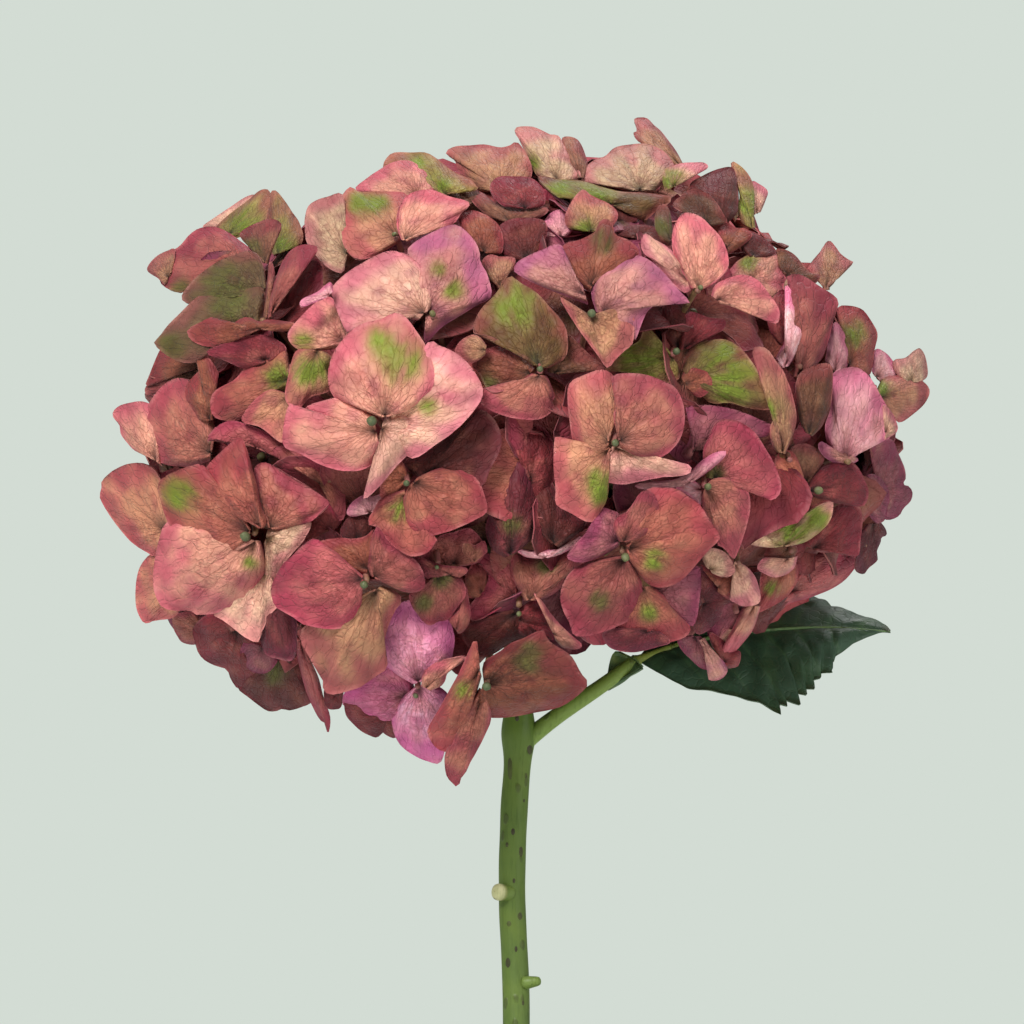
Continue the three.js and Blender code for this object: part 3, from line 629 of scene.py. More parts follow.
def shell_faces(grid, normal, rows, columns):
    """Faces of a thin closed sheet: its top and its bottom, numbered one after the other, and its rim."""
    count = rows * columns
    faces = grid_faces(rows, columns)
    low = faces[:, ::-1] + count
    ring = np.concatenate([
        np.arange(columns) + (rows - 1) * columns,
        np.arange(rows - 2, -1, -1) * columns + columns - 1,
        np.arange(columns - 2, -1, -1),
        np.arange(1, rows - 1) * columns,
    ])
    after = np.roll(ring, -1)
    rim = np.stack([ring, ring + count, after + count, after], axis=1)
    row, column = rows // 2, columns // 2
    lengthwise = grid[row + 1, column] - grid[row, column]
    crosswise = grid[row, column + 1] - grid[row, column]
    if np.cross(lengthwise, crosswise).dot(normal[row, column]) > 0:
        return np.concatenate([faces[:, ::-1], low[:, ::-1], rim[:, ::-1]])
    return np.concatenate([faces, low, rim])


def edge_curls(out, share, width, random):
    """Lifts or drops a few stretches of a sepal's rim, as where it folds over."""
    lift = 0 * out * share
    for _ in range(random.integers(1, 4)):
        middle = random.uniform(-0.95, 0.95)
        spread = random.uniform(0.12, 0.40)
        amount = random.uniform(-0.10, 0.17) * width
        lift = lift + amount * smooth(0.55, 1.05, out) ** 1.5 * np.exp(-((share - middle) / spread) ** 2)
    return lift


def fine_relief(x, y, out, share, width, wave, pucker, lengths, random):
    """A sepal's wavy rim, its small puckers and the groove along its midrib."""
    waves = wave * out ** 3 * ripples(share * 3 + 0 * out, 2 * out + 0 * share, random, 5, 0.9, 2.6)
    puckers = pucker * smooth(0.05, 0.3, out) * ripples(x, y, random, 9, *lengths)
    groove = 0.40 * np.exp(-(y / (0.055 * width)) ** 2) * (1 - 0.6 * out)
    return waves + puckers - groove


def sepal_tints(x, y, out, share, tone, spot, random):
    """The colours of a sepal: dark at its base, partly painted shade round the bud, rosier at its rim with
    a painted highlight on its edge, mottled, streaked and patched.
    """
    middle, rim, deep = (np.array(part, dtype=float) for part in TONES[tone])
    # From the base colour near the bud to the middle colour: the darker base is partly painted shade in the
    # throat.
    shade = mix(deep, middle, smooth(0.03, 0.36, out + 0 * share))
    edge = smooth(0.58, 1.0, out + 0.14 * ripples(x, y, random, 5, 5, 12))
    shade = shade * mix((1.05, 1.11, 1.03), (1, 1, 1), edge)
    shade = mix(shade, rim * (1.0, 0.90, 0.96), 0.85 * edge)
    mottle = ripples(x, y, random, 8, 3.0, 9.0)
    pale = (middle + MOTTLE_PALE) / 2
    shade = mix(shade, pale, 0.42 * smooth(0.1, 1.6, mottle) * (1 - 0.6 * edge))
    shade = mix(shade, rim * 0.82, 0.42 * smooth(-0.2, -1.7, mottle))
    streaks = ripples(share * 30 + 0 * out, out * 6 + 0 * share, random, 8, 2.5, 9)
    shade = shade * (1 + 0.055 * np.clip(streaks, -1.6, 1.6) * smooth(0.1, 0.4, out))[..., None]
    feathered = spot * (1.0 + 0.30 * np.clip(streaks, -1.5, 1.5) + 0.22 * mottle)
    dull = DULL_SHARE if tone in DULL_TONES else 1.0
    shade = mix(shade, dull * np.array(PATCH_OLIVE), 0.72 * smooth(0.0, 0.90, feathered))
    shade = mix(shade, dull * np.array(PATCH_GREEN), 0.80 * dull ** 2 * smooth(0.45, 1.50, feathered))
    # Painted highlight: a thin pale line right at the rim.
    light = 0.38 * (0.5 + 0.5 * np.clip(mottle, -1, 1)) * smooth(0.965, 1.0, out + 0 * share)
    shade = mix(shade, RIM_HIGHLIGHT, light)
    # Painted shade: darkens the sepal further close to its base, in the throat round the bud.
    shade = shade * (1 - 0.45 * smooth(0.16, 0.03, out + 0 * share))[..., None]
    return shade * random.uniform(0.93, 1.04)


def shade_sheet(sheets, grid, normal, x, y, out, share, shade, random):
    """Adds a sepal's sheet, with its upper and lower tints and its texture places."""
    rows, columns = x.shape
    under = mix(shade * 0.92, UNDERSIDE, 0.30 * np.ones_like(x))
    fans = np.stack([out + 0 * share, share + 0 * out], axis=-1).reshape(-1, 2)
    flats = np.stack([x + random.uniform(0, LONGEST_SHIFT), y], axis=-1).reshape(-1, 2) / MM_PER_CM
    sheets.add(
        np.concatenate([(grid + HALF_THICKNESS * normal).reshape(-1, 3),
                        (grid - HALF_THICKNESS * normal).reshape(-1, 3)]),
        shell_faces(grid, normal, rows, columns),
        np.concatenate([shade.reshape(-1, 3), under.reshape(-1, 3)]),
        np.concatenate([fans, fans]),
        np.concatenate([flats, flats]),
    )


TRACED_ROWS = 16
TRACED_COLUMNS = 45
TRACED_BASE_SHARE = 0.03
TRACED_CURL_SHARE = 0.6
STEPS_PER_CORNER = 8
RECURVE = 400.0  # a drawn sepal falls back by its distance from its base squared, over this
PATCH_GAIN = 1.25
PATCH_SPREAD = 1.35


def add_traced_sepal(sheets, place, face, tone, greens, outline, random):
    """A sepal with a drawn outline, whose relief lies along the photograph's lines of sight."""
    edge = curve_through(outline, STEPS_PER_CORNER * len(outline))
    edge = along_path(edge, np.linspace(0, 1, TRACED_COLUMNS))
    root = (edge[0] + edge[-1]) / 2
    out = TRACED_BASE_SHARE + (1 - TRACED_BASE_SHARE) * np.linspace(0, 1, TRACED_ROWS)[:, None] ** 0.85
    share = np.linspace(-1, 1, TRACED_COLUMNS)[None, :]
    pixels = root + out[..., None] * (edge - root)
    flat = seen_on(pixels, place, face)
    toward = unit(CAMERA_PLACE - flat)

    base = flat[0].mean(axis=0)
    along = unit(flat[-1, TRACED_COLUMNS // 2] - base)
    side = np.cross(along, face)
    x, y = (flat - base).dot(along), (flat - base).dot(side)
    length = np.linalg.norm(flat[-1] - base, axis=-1).max()
    width = np.ptp(y)
    level = 2 * np.abs(y) / width

    arch = random.uniform(0.05, 0.12) * length * np.sin(math.pi * out ** 0.85)
    cup = random.uniform(-0.04, 0.10) * width * level ** 2 * out ** 2
    fall = random.uniform(0.02, 0.20) * length * out ** 2 + (x ** 2 + y ** 2) / RECURVE
    twist = random.uniform(-0.10, 0.10) * y * out
    curls = TRACED_CURL_SHARE * edge_curls(out, share, min(width, length), random)
    wave = random.uniform(0.02, 0.04) * min(width, length)
    fine = fine_relief(x, y, out, share, width, wave, 0.26, (2.4, 6.5), random)
    rise = arch + cup - fall + twist + curls + fine
    grid = flat + rise[..., None] * toward
    normal = unit(square_to(grid))
    normal = normal * np.sign((normal * toward).sum(axis=-1).mean())

    spot = 0 * x
    for green_x, green_y, radius in greens:
        away = (pixels[..., 0] - green_x) ** 2 + (pixels[..., 1] - green_y) ** 2
        spot = spot + PATCH_GAIN * np.exp(-away / (PATCH_SPREAD * radius) ** 2)
    shade = sepal_tints(x, y, out, share, tone, spot, random)
    shade_sheet(sheets, grid, normal, x, y, out, share, shade, random)


def add_sepal(sheets, base, tip, face, width, roll, tone, green, random, rows, columns):
    """One sepal from its bud to its tip: a fan-shaped sheet, arched, cupped, waved and puckered."""
    length = float(np.linalg.norm(tip - base))
    along = (tip - base) / length
    up = unit(face - along * face.dot(along))
    side = np.cross(along, up)
    turn = math.radians(roll)
    up, side = up * math.cos(turn) + side * math.sin(turn), side * math.cos(turn) - up * math.sin(turn)

    share = np.linspace(-1, 1, columns)[None, :]
    out = SEPAL_BASE_SHARE + (1 - SEPAL_BASE_SHARE) * np.linspace(0, 1, rows)[:, None] ** 0.9
    margin_along, margin_side = sepal_margin(share, random)
    notch = 1 + 0.035 * ripples(share * 3 + 0 * out, 0 * share, random, 4, 0.6, 2.6) * out ** 4
    point = random.uniform(0.0, 0.07) * np.exp(-(share / 0.11) ** 2) * out ** 8
    x = length * (margin_along * out * notch + point)
    y = width / 2 * margin_side * out ** random.uniform(1.02, 1.18) * notch
    level = y / (width / 2)

    ahead = x / length
    arch = SEPAL_ARCH * length * np.sin(math.pi * np.clip(ahead, 0, 1) ** 0.85)
    cup = random.uniform(-0.06, 0.16) * width * np.abs(level) ** 2.2 * smooth(0.0, 0.5, ahead)
    fold = random.uniform(-0.03, 0.12) * np.abs(y) * smooth(0.1, 0.5, ahead)
    fall = random.uniform(-0.18, 0.08) * length * smooth(0.60, 1.05, ahead) * ahead
    twist = random.uniform(-0.14, 0.14) * y * smooth(0.2, 1.0, ahead)
    curls = edge_curls(out, share, width, random)
    wave = random.uniform(0.020, 0.050) * width
    fine = fine_relief(x, y, out, share, width, wave, 0.28, (2.6, 7.0), random)
    rise = arch + cup + fold + fall + twist + curls + fine

    grid = base + x[..., None] * along + y[..., None] * side + rise[..., None] * up
    normal = unit(square_to(grid))
    if normal[rows // 2, columns // 2].dot(up) < 0:
        normal = -normal

    lobe = random.choice([-1, 1])
    spot = np.exp(-((level - lobe * 0.34) / 0.36) ** 2 - ((ahead - 0.64) / 0.26) ** 2)
    spot = spot + 0.5 * np.exp(-((level + lobe * 0.25) / 0.3) ** 2 - ((ahead - 0.5) / 0.22) ** 2)
    shade = sepal_tints(x, y, out, share, tone, min(1, green) * spot, random)
    shade_sheet(sheets, grid, normal, x, y, out, share, shade, random)


BUD_GREENS = ((82, 88, 56), (94, 96, 58), (74, 84, 54), (100, 92, 54))
BUD_FOOT = (70, 40, 36)
BUD_SIDES = 16
BUD_ROWS = 10


def add_bud(sheets, eye, face, radius, random):
    """The small four-lobed closed bud at a floret's eye, dark at its foot, with a dimpled top."""
    across = unit(np.cross(face, (0.3, 0.2, 1.0)))
    beside = np.cross(face, across)
    turns = round_angles(BUD_SIDES)
    lean = random.uniform(-0.3, 0.3, 2)
    green = np.array(BUD_GREENS[random.integers(len(BUD_GREENS))], dtype=float)
    rings, tints = [], []
    for share in np.arange(BUD_ROWS) / (BUD_ROWS - 1):
        angle = math.pi * (0.08 + 0.90 * share)
        lobes = 1 + 0.09 * np.cos(4 * turns) * smooth(0.3, 0.9, share)
        ring = np.outer(np.cos(turns) * lobes, across) + np.outer(np.sin(turns) * lobes, beside)
        height = 0.5 * radius - 1.1 * radius * math.cos(angle)
        way = face + lean[0] * share * across + lean[1] * share * beside
        rings.append(eye + radius * math.sin(angle) * ring + height * way)
        tint = mix(BUD_FOOT, green * (0.75 + 0.4 * share), smooth(0.15, 0.6, share))
        tints.append(np.repeat(tint[None], BUD_SIDES, axis=0))
    faces = grid_faces(BUD_ROWS, BUD_SIDES, closed=True)
    sheets.add(np.concatenate(rings), faces, np.concatenate(tints), slot=1)


# ---------------------------------------------------------------- flower head

HEAD_CENTRE = at_pixel(*HEAD_CENTRE_PIXEL, STEM_Y)
HEAD_HALF = np.array([182.0, 172.0, 147.0]) / 2
EYE_SHELL = 0.93  # the photographed florets' eyes lie at this share of the way out to the dome
DOME_LEAN = 0.42  # and they face this much more the way that the dome does
LAYER_STEP = 1.1
EYE_GAP = 0.4
BUD_SHARE = 0.88
BRANCH_POINT = HEAD_CENTRE - np.array([0, 0, HEAD_HALF[2] / 2])
GOLDEN_TURN = math.pi * (3 - math.sqrt(5))


def dome_normal(place):
    return unit((place - HEAD_CENTRE) / HEAD_HALF ** 2)


def dome_spread(number, count, turned=0.0):
    """The numbered one of a count of directions from the head's middle, spaced by the golden angle."""
    height = 1 - 2 * (number + 0.5) / count
    ring = math.sqrt(1 - height ** 2)
    angle = number * GOLDEN_TURN + turned
    return np.array([ring * math.cos(angle), ring * math.sin(angle), height])


def along_face(face):
    """A level direction in the plane of a floret's face, and the one square to it."""
    across = unit(np.cross((0, 0, 1), face))
    return across, np.cross(face, across)


def front_floret(row):
    """The eye and the face of a floret of the table, in the frame, and its drawn sepals."""
    _, eye_pixel, _, near, (right, upward), sepals = row
    rough = at_pixel(*eye_pixel, STEM_Y)
    reach = EYE_SHELL * HEAD_HALF
    away = 1 - ((rough[0] - HEAD_CENTRE[0]) / reach[0]) ** 2 - ((rough[2] - HEAD_CENTRE[2]) / reach[2]) ** 2
    eye = at_pixel(*eye_pixel, STEM_Y - reach[1] * math.sqrt(max(0.0, away)) - near)
    own = np.array([right, -math.sqrt(1 - right ** 2 - upward ** 2), upward])
    face = unit(own + DOME_LEAN * (dome_normal(eye) - own))
    return eye, face, sepals


# The head's outline in the photograph, in pixels, clockwise from its left.
HEAD_OUTLINE = (
    (102, 488), (118, 412), (132, 400), (150, 345), (150, 268), (205, 225), (240, 204), (276, 192),
    (305, 232), (340, 214), (390, 153), (447, 152), (516, 128), (576, 140), (612, 152), (638, 118),
    (680, 156), (735, 163), (765, 190), (800, 258), (850, 262), (874, 322), (922, 350), (930, 394),
    (902, 432), (918, 500), (885, 572), (850, 598), (800, 606), (770, 640), (740, 676), (700, 660),
    (640, 640), (586, 684), (500, 716), (457, 786), (430, 758), (345, 722), (270, 708), (200, 660),
    (146, 618), (134, 584), (150, 552), (106, 522),
)
# How much of the outline, above and below its centre, guessed sepals may fill with their tips and sides.
TIP_SHARES = (0.90, 0.97)
SIDE_SHARES = (0.96, 0.98)
INWARD_STEPS = 25
INWARD_STEP = 0.02
PAST_TIP = 1.06
WIDEST_AT = 0.6


def in_outline(place, shares):
    """Whether a place is seen inside the head's outline, shrunk to shares above and below its centre."""
    top, foot = shares
    centre_x, centre_y = HEAD_CENTRE_PIXEL
    scale = MM_PER_PIXEL * (1 + (place[1] - STEM_Y) / VIEW_DISTANCE)
    x = FRAME_CENTRE_PIXEL + (place[0] - VIEW_X) / scale
    y = FRAME_CENTRE_PIXEL - (place[2] - VIEW_Z) / scale
    x = centre_x + (x - centre_x) / top
    y = centre_y + (y - centre_y) / (foot if y > centre_y else top)
    inside = False
    before = HEAD_OUTLINE[-1]
    for corner in HEAD_OUTLINE:
        if (corner[1] > y) != (before[1] > y):
            if x < before[0] + (y - before[1]) * (corner[0] - before[0]) / (corner[1] - before[1]):
                inside = not inside
        before = corner
    return inside


def drawn_in(eye, face, sepals):
    """The floret, moved towards the head's middle until its sepals lie inside the outline."""
    inward = (HEAD_CENTRE - eye) * np.array([1, 0, 1])
    tips, sides = [], []
    for base, tip, width, *_ in sepals:
        out = tip - base
        half = unit(np.cross(face, out)) * width / 2
        tips.append(base + PAST_TIP * out)
        sides += [base + WIDEST_AT * out + half, base + WIDEST_AT * out - half]
    for step in range(INWARD_STEPS):
        shift = inward * INWARD_STEP * step
        tips_in = all(in_outline(place + shift, TIP_SHARES) for place in tips)
        if tips_in and all(in_outline(place + shift, SIDE_SHARES) for place in sides):
            break
    moved = [(base + shift, tip + shift, *rest) for base, tip, *rest in sepals]
    return eye + shift, face, moved


# Florets behind the photographed ones: how many there are round the whole dome and how far out, where
# they start behind its front and below its top, and those that are lifted clear of the leaf.
BACK_COUNT = 78
BACK_SHELL = 0.85
BACK_START = -0.36
SKIRT = -0.55
LEAF_SIDE_X = 20.0
LEAF_SHADE_Z = 256.0
LEAF_LIFT = 9.0
BACK_TONES = ("rose", "coral", "rosesalmon", "salmon", "pink", "brown", "rose", "mauve", "rust")
BACK_TONES_SEED = 5
DRAW_START = 11
DRAW_FACTOR = 16807
DRAW_LIMIT = 2147483647


def back_florets():
    """The florets behind the photographed ones, placed by the same row of draws as in the solid."""
    state = DRAW_START

    def draw(low, high):
        nonlocal state
        state = state * DRAW_FACTOR % DRAW_LIMIT
        return low + (high - low) * state / DRAW_LIMIT

    pick = np.random.default_rng(BACK_TONES_SEED)
    florets = []
    for i in range(BACK_COUNT):
        spread = dome_spread(i, BACK_COUNT)
        shell = BACK_SHELL * (0.92 if i % 2 else 1.04)
        eye = HEAD_CENTRE + shell * spread * HEAD_HALF
        if eye[0] > LEAF_SIDE_X and eye[2] < LEAF_SHADE_Z:
            eye[2] += LEAF_LIFT
        face = dome_normal(eye)
        face[2] += draw(-0.15, 0.15)
        face = unit(face)
        across, along = along_face(face)
        turn = draw(0, math.pi / 2)
        tone = BACK_TONES[pick.integers(len(BACK_TONES))]
        sepals = []
        for quarter in range(4):
            bearing = turn + quarter * math.pi / 2 + draw(-0.06, 0.06)
            length = draw(22, 27)
            lift = draw(-5, 2)
            tip = eye + length * (math.cos(bearing) * across + math.sin(bearing) * along) + lift * face
            width = draw(20, 25)
            roll = draw(-5, 5)
            green = max(0.0, pick.uniform(-0.9, 0.9) + 0.5 * spread[2])
            own = tone if pick.random() < 0.7 else BACK_TONES[pick.integers(len(BACK_TONES))]
            layer = face * (-0.8 if quarter % 2 else 0.8)
            sepals.append((eye + layer, tip + layer, width * 1.06, roll, own, green))
        if spread[1] > BACK_START and spread[2] > SKIRT:
            florets.append(drawn_in(eye, face, sepals))
    return florets


# Florets under the outer ones: how many there are round the whole dome, how far out, how long and how
# wide their sepals are, how far back they go, and their tones.
# Their tones are darker in part as painted shade under the outer florets.
UNDER = {
    "middle": (96, 0.80, (18, 24), (19, 24), 0.10,
               ("rose", "rust", "coral", "rose", "brown", "mauve", "crimson", "deeppink", "maroon")),
    "inner": (70, 0.66, (19, 24), (17, 22), 1.0, ("maroon", "crimson", "plum", "maroon", "rust")),
}
UNDER_FOOT = -0.66
UNDER_TURNED = 0.9


def under_florets(layer):
    """Florets under the outer ones, spaced evenly round the dome, in tones darkened in part as painted
    shade there.
    """
    count, shell, lengths, widths, furthest_back, tones = UNDER[layer]
    pick = np.random.default_rng(count)
    florets = []
    for i in range(count):
        spread = dome_spread(i, count, UNDER_TURNED)
        eye = HEAD_CENTRE + shell * pick.uniform(0.92, 1.08) * spread * HEAD_HALF
        face = unit(dome_normal(eye) + pick.uniform(-0.3, 0.3, 3))
        across, along = along_face(face)
        turn = pick.uniform(0, math.pi / 2)
        sepals = []
        for quarter in range(4):
            bearing = turn + quarter * math.pi / 2 + pick.uniform(-0.15, 0.15)
            tip = eye + pick.uniform(*lengths) * (math.cos(bearing) * across + math.sin(bearing) * along)
            tip = tip + pick.uniform(-6, 3) * face
            own = tones[pick.integers(len(tones))]
            green = max(0.0, pick.uniform(-1.5, 0.7))
            sepals.append((eye, tip, pick.uniform(*widths), pick.uniform(-15, 15), own, green))
        if spread[2] > UNDER_FOOT and spread[1] < furthest_back:
            florets.append(drawn_in(eye, face, sepals))
    return florets


def add_front_floret(row, floret, materials, seed):
    """A floret of the table, its sepals stacked from back to front before its eye."""
    name, _, bud_pixels, *_ = row
    eye, face, sepals = floret
    random = np.random.default_rng(seed)
    sheets = Sheets()
    for order, (tone, greens, outline) in enumerate(sepals):
        place = eye + face * LAYER_STEP * (order - len(sepals) / 2)
        add_traced_sepal(sheets, place, face, tone, greens, outline, random)
    if bud_pixels:
        front = eye + face * (LAYER_STEP * len(sepals) / 2 + EYE_GAP)
        add_bud(sheets, front, face, BUD_SHARE * bud_pixels * MM_PER_PIXEL / 2, random)
    sheets.build("floret_" + name, materials, "flower_head")


BACK_BUD_AHEAD = 1.3
BACK_BUD_RADII = (0.95, 1.2)


def add_floret(name, floret, materials, seed, rows, columns):
    eye, face, sepals = floret
    random = np.random.default_rng(seed)
    sheets = Sheets()
    for base, tip, width, roll, tone, green in sepals:
        add_sepal(sheets, base, tip, face, width, roll, tone, green, random, rows, columns)
    add_bud(sheets, eye + BACK_BUD_AHEAD * face, face, random.uniform(*BACK_BUD_RADII), random)
    sheets.build(name, materials, "flower_head")


STALKS_SEED = 41
STALK_STEPS = 22
STALK_SIDES = 7
STALK_RADIUS = 1.5
STALK_TAPER = 0.85
STALK_NEAR = 0.10
STALK_FORK = 0.42
STALK_FOOT = (112.5, 90, 58.5)
STALK_END = (150, 84, 84)


def add_branches(florets, materials):
    """Stalks from the stem's end to every floret, leaving it together and parting on the way."""
    random = np.random.default_rng(STALKS_SEED)
    sheets = Sheets()
    for eye, face, _ in florets:
        out = eye - BRANCH_POINT
        fork = BRANCH_POINT + STALK_FORK * out + random.uniform(-3, 3, 3)
        near = BRANCH_POINT + STALK_NEAR * out
        path = curve_through([BRANCH_POINT, near, fork, eye - 7 * face, eye + 0.8 * face], STALK_STEPS)
        share = np.linspace(0, 1, len(path))
        radii = STALK_RADIUS - STALK_TAPER * smooth(0.0, 0.7, share)
        tints = mix(STALK_FOOT, STALK_END, smooth(0.3, 1.0, share))
        tube(sheets, path, radii, tints, STALK_SIDES)
    sheets.build("branches", materials, "flower_head")


# ---------------------------------------------------------------- stem

STEM_PLACES = (
    (1, -13, 6.3), (0.3, -3, 45), (-0.4, 7.5, 85), (-0.6, 16.9, 115), (-0.4, 20.5, 145),
    (-1.3, 22, 168), (-0.9, 22, 186), (0.1, 22, 203), (-0.2, 22, 226),
)
STEM_SEED = 7
STEM_STEPS = 260
STEM_SIDES = 28
STEM_RADIUS = 3.0
STEM_INSET = 0.05
NODE_Z = 204.0
NODE_SWELL = 0.9
NODE_REACH = 4.5
FOOT_SWELL = 0.3
STEM_LOW = (92, 112, 48)
STEM_HIGH = (98, 122, 42)
# The cut side shoot and the small side bud: pixel, way out (mm), radii, tints along them, sides.
SHOOTS = (
    ((510, 893, -1.5), (-2.9, -2.6, 0.4), (1.9, 1.9, 1.85, 1.8, 1.85, 1.9, 1.75),
     ((110, 130, 60),) * 4 + ((150, 150, 90), (206, 200, 150), (216, 208, 160)), 16),
    ((524, 983, -3), (3.4, -0.8, 0.5), (1.5, 1.45, 1.4, 1.3, 1.2, 1.1, 0.9), (112, 134, 64), 14),
)
# Dark corky pores of the bark: place in pixels, then width and height in pixels.
PORES = (
    (517, 718, 4, 7), (530, 748, 6, 13), (510, 768, 5, 26), (513, 831, 4, 7), (521, 851, 4, 11),
    (520, 916, 5, 9), (509, 923, 5, 6), (508, 962, 5, 11), (524, 800, 3, 5), (507, 844, 3, 5),
    (516, 948, 3, 6), (523, 1002, 3, 6), (514, 880, 3, 5), (526, 775, 3, 6),
)
PORE_TINT = (62, 52, 34)
PORE_SIDES = 10
PORE_ROWS = 4
PORE_RISE = 0.14


def stem_radius(height):
    swell = NODE_SWELL * np.exp(-((height - NODE_Z) / NODE_REACH) ** 2)
    return STEM_RADIUS + swell + FOOT_SWELL * smooth(0, 145, 150 - height)


def add_stem(materials):
    random = np.random.default_rng(STEM_SEED)
    path = curve_through(STEM_PLACES, STEM_STEPS)
    radii = stem_radius(path[:, 2]) - STEM_INSET
    radii = radii * (1 + 0.012 * ripples(path[:, 2], path[:, 2] * 0, random, 5, 6, 25))
    share = smooth(140, 226, path[:, 2])
    tints = mix(STEM_LOW, STEM_HIGH, share)
    sheets = Sheets()
    tube(sheets, path, radii, tints, STEM_SIDES)
    for (x, y, behind), way, shoot_radii, shoot_tints, sides in SHOOTS:
        foot = at_pixel(x, y, STEM_Y + behind)
        end = foot + np.array(way)
        shoot = curve_through([foot, 0.5 * (foot + end), end], len(shoot_radii) - 1)
        tube(sheets, shoot, shoot_radii, shoot_tints, sides)
    for x, y, wide, tall in PORES:
        add_pore(sheets, path, x, y, wide, tall)
    sheets.build("stem", materials, "stem")


def add_pore(sheets, path, x, y, wide, tall):
    """A small raised dark lens on the stem's near side."""
    rough = at_pixel(x, y, STEM_Y)
    centre = path[np.argmin(np.abs(path[:, 2] - rough[2]))]
    radius = stem_radius(rough[2])
    turns = round_angles(PORE_SIDES)
    rings = []
    for out in 1 - np.arange(PORE_ROWS) / (PORE_ROWS - 0.6):
        right = rough[0] - centre[0] + np.cos(turns) * out * wide * MM_PER_PIXEL / 2
        height = rough[2] + np.sin(turns) * out * tall * MM_PER_PIXEL / 2
        lift = radius - STEM_INSET + PORE_RISE * math.sin(math.pi / 2 * (1 - out))
        right = np.clip(right, -0.97 * radius, 0.97 * radius)
        depth = np.sqrt(np.maximum(lift ** 2 - right ** 2, 0))
        rings.append(np.stack([centre[0] + right, centre[1] - depth, height], axis=1))
    sheets.add(np.concatenate(rings), grid_faces(PORE_ROWS, PORE_SIDES, closed=True), PORE_TINT)


# ---------------------------------------------------------------- leaf

MIDRIB = ((637, 660, 0), (678, 645, 2), (720, 636, 4), (762, 630, 6), (826, 627, 9), (890, 631, 12))
PETIOLE = ((521, 745, 0), (535, 733, 0), (560, 714, -1), (600, 687, -1), (637, 660, 0))
# The blade's edges, in pixels from its base to its tip. The near half hangs towards the viewer,
# the far half spreads back almost level, and both are set by their depth for each mm of height.
NEAR_EDGE = (
    (637, 660), (646, 666), (665, 677), (687, 688), (724, 693), (747, 700), (759, 703), (769, 708),
    (781, 715), (779, 705), (787, 707), (785, 700), (801, 705), (794, 693), (807, 696), (804, 689),
    (815, 690), (810, 681), (821, 678), (820, 673), (832, 674), (825, 668), (833, 662), (832, 658),
    (840, 653), (852, 644), (865, 638), (878, 633), (890, 631),
)
FAR_EDGE = (
    (637, 660), (660, 634), (690, 613), (730, 597), (770, 588), (800, 591), (816, 598), (832, 607),
    (846, 612), (865, 617), (878, 622), (886, 626), (890, 631),
)
NEAR_SLOPE = 0.83
FAR_SLOPE = 2.58
# The small folded lobe where the blade starts.
LEAF_FLAP = (
    (641, 665), (634, 659), (626, 655), (616, 651), (611, 658), (608, 672), (606, 691),
    (616, 682), (628, 676), (641, 668),
)
FLAP_FACE = (-0.5, -0.8, 0.3)
FLAP_AHEAD = 3.2
FLAP_ROWS = 8
FLAP_COLUMNS = 24
FLAP_STEPS = 60
FLAP_BULGE = 0.9
LEAF_SEED = 3
LEAF_ROWS = 120
LEAF_COLUMNS = 14
MIDRIB_STEPS = 160
MIDRIB_SIDES = 10
PETIOLE_STEPS = 60
PETIOLE_SIDES = 16
SIDE_VEINS = 8
BLADE_HALF = 0.22
FLAP_HALF = 0.2
BLADE_GREEN = (58, 84, 62)
VEIN_GREEN = (92, 122, 80)
BLADE_PATCH = (66, 96, 54)
BLADE_RIM = (84, 96, 58)
BLADE_TIP = (96, 84, 58)
BLADE_BELOW = (96, 122, 92)
FLAP_GREENS = ((84, 108, 64), (124, 140, 78))
RIB_TINTS = ((150, 160, 70), (112, 140, 92))
PETIOLE_TINTS = ((122, 146, 62), (134, 154, 72))


def bent_path(places, steps):
    return curve_through([at_pixel(x, y, STEM_Y + behind) for x, y, behind in places], steps)


def two_sided(sheets, grid, normal, half, upper, lower):
    """Adds a thin sheet round a grid of places, half as thick on each side, with its two sides' tints."""
    sides = np.concatenate([(grid + half * normal).reshape(-1, 3), (grid - half * normal).reshape(-1, 3)])
    tints = np.concatenate([upper.reshape(-1, 3), lower.reshape(-1, 3)])
    sheets.add(sides, shell_faces(grid, normal, *grid.shape[:2]), tints)


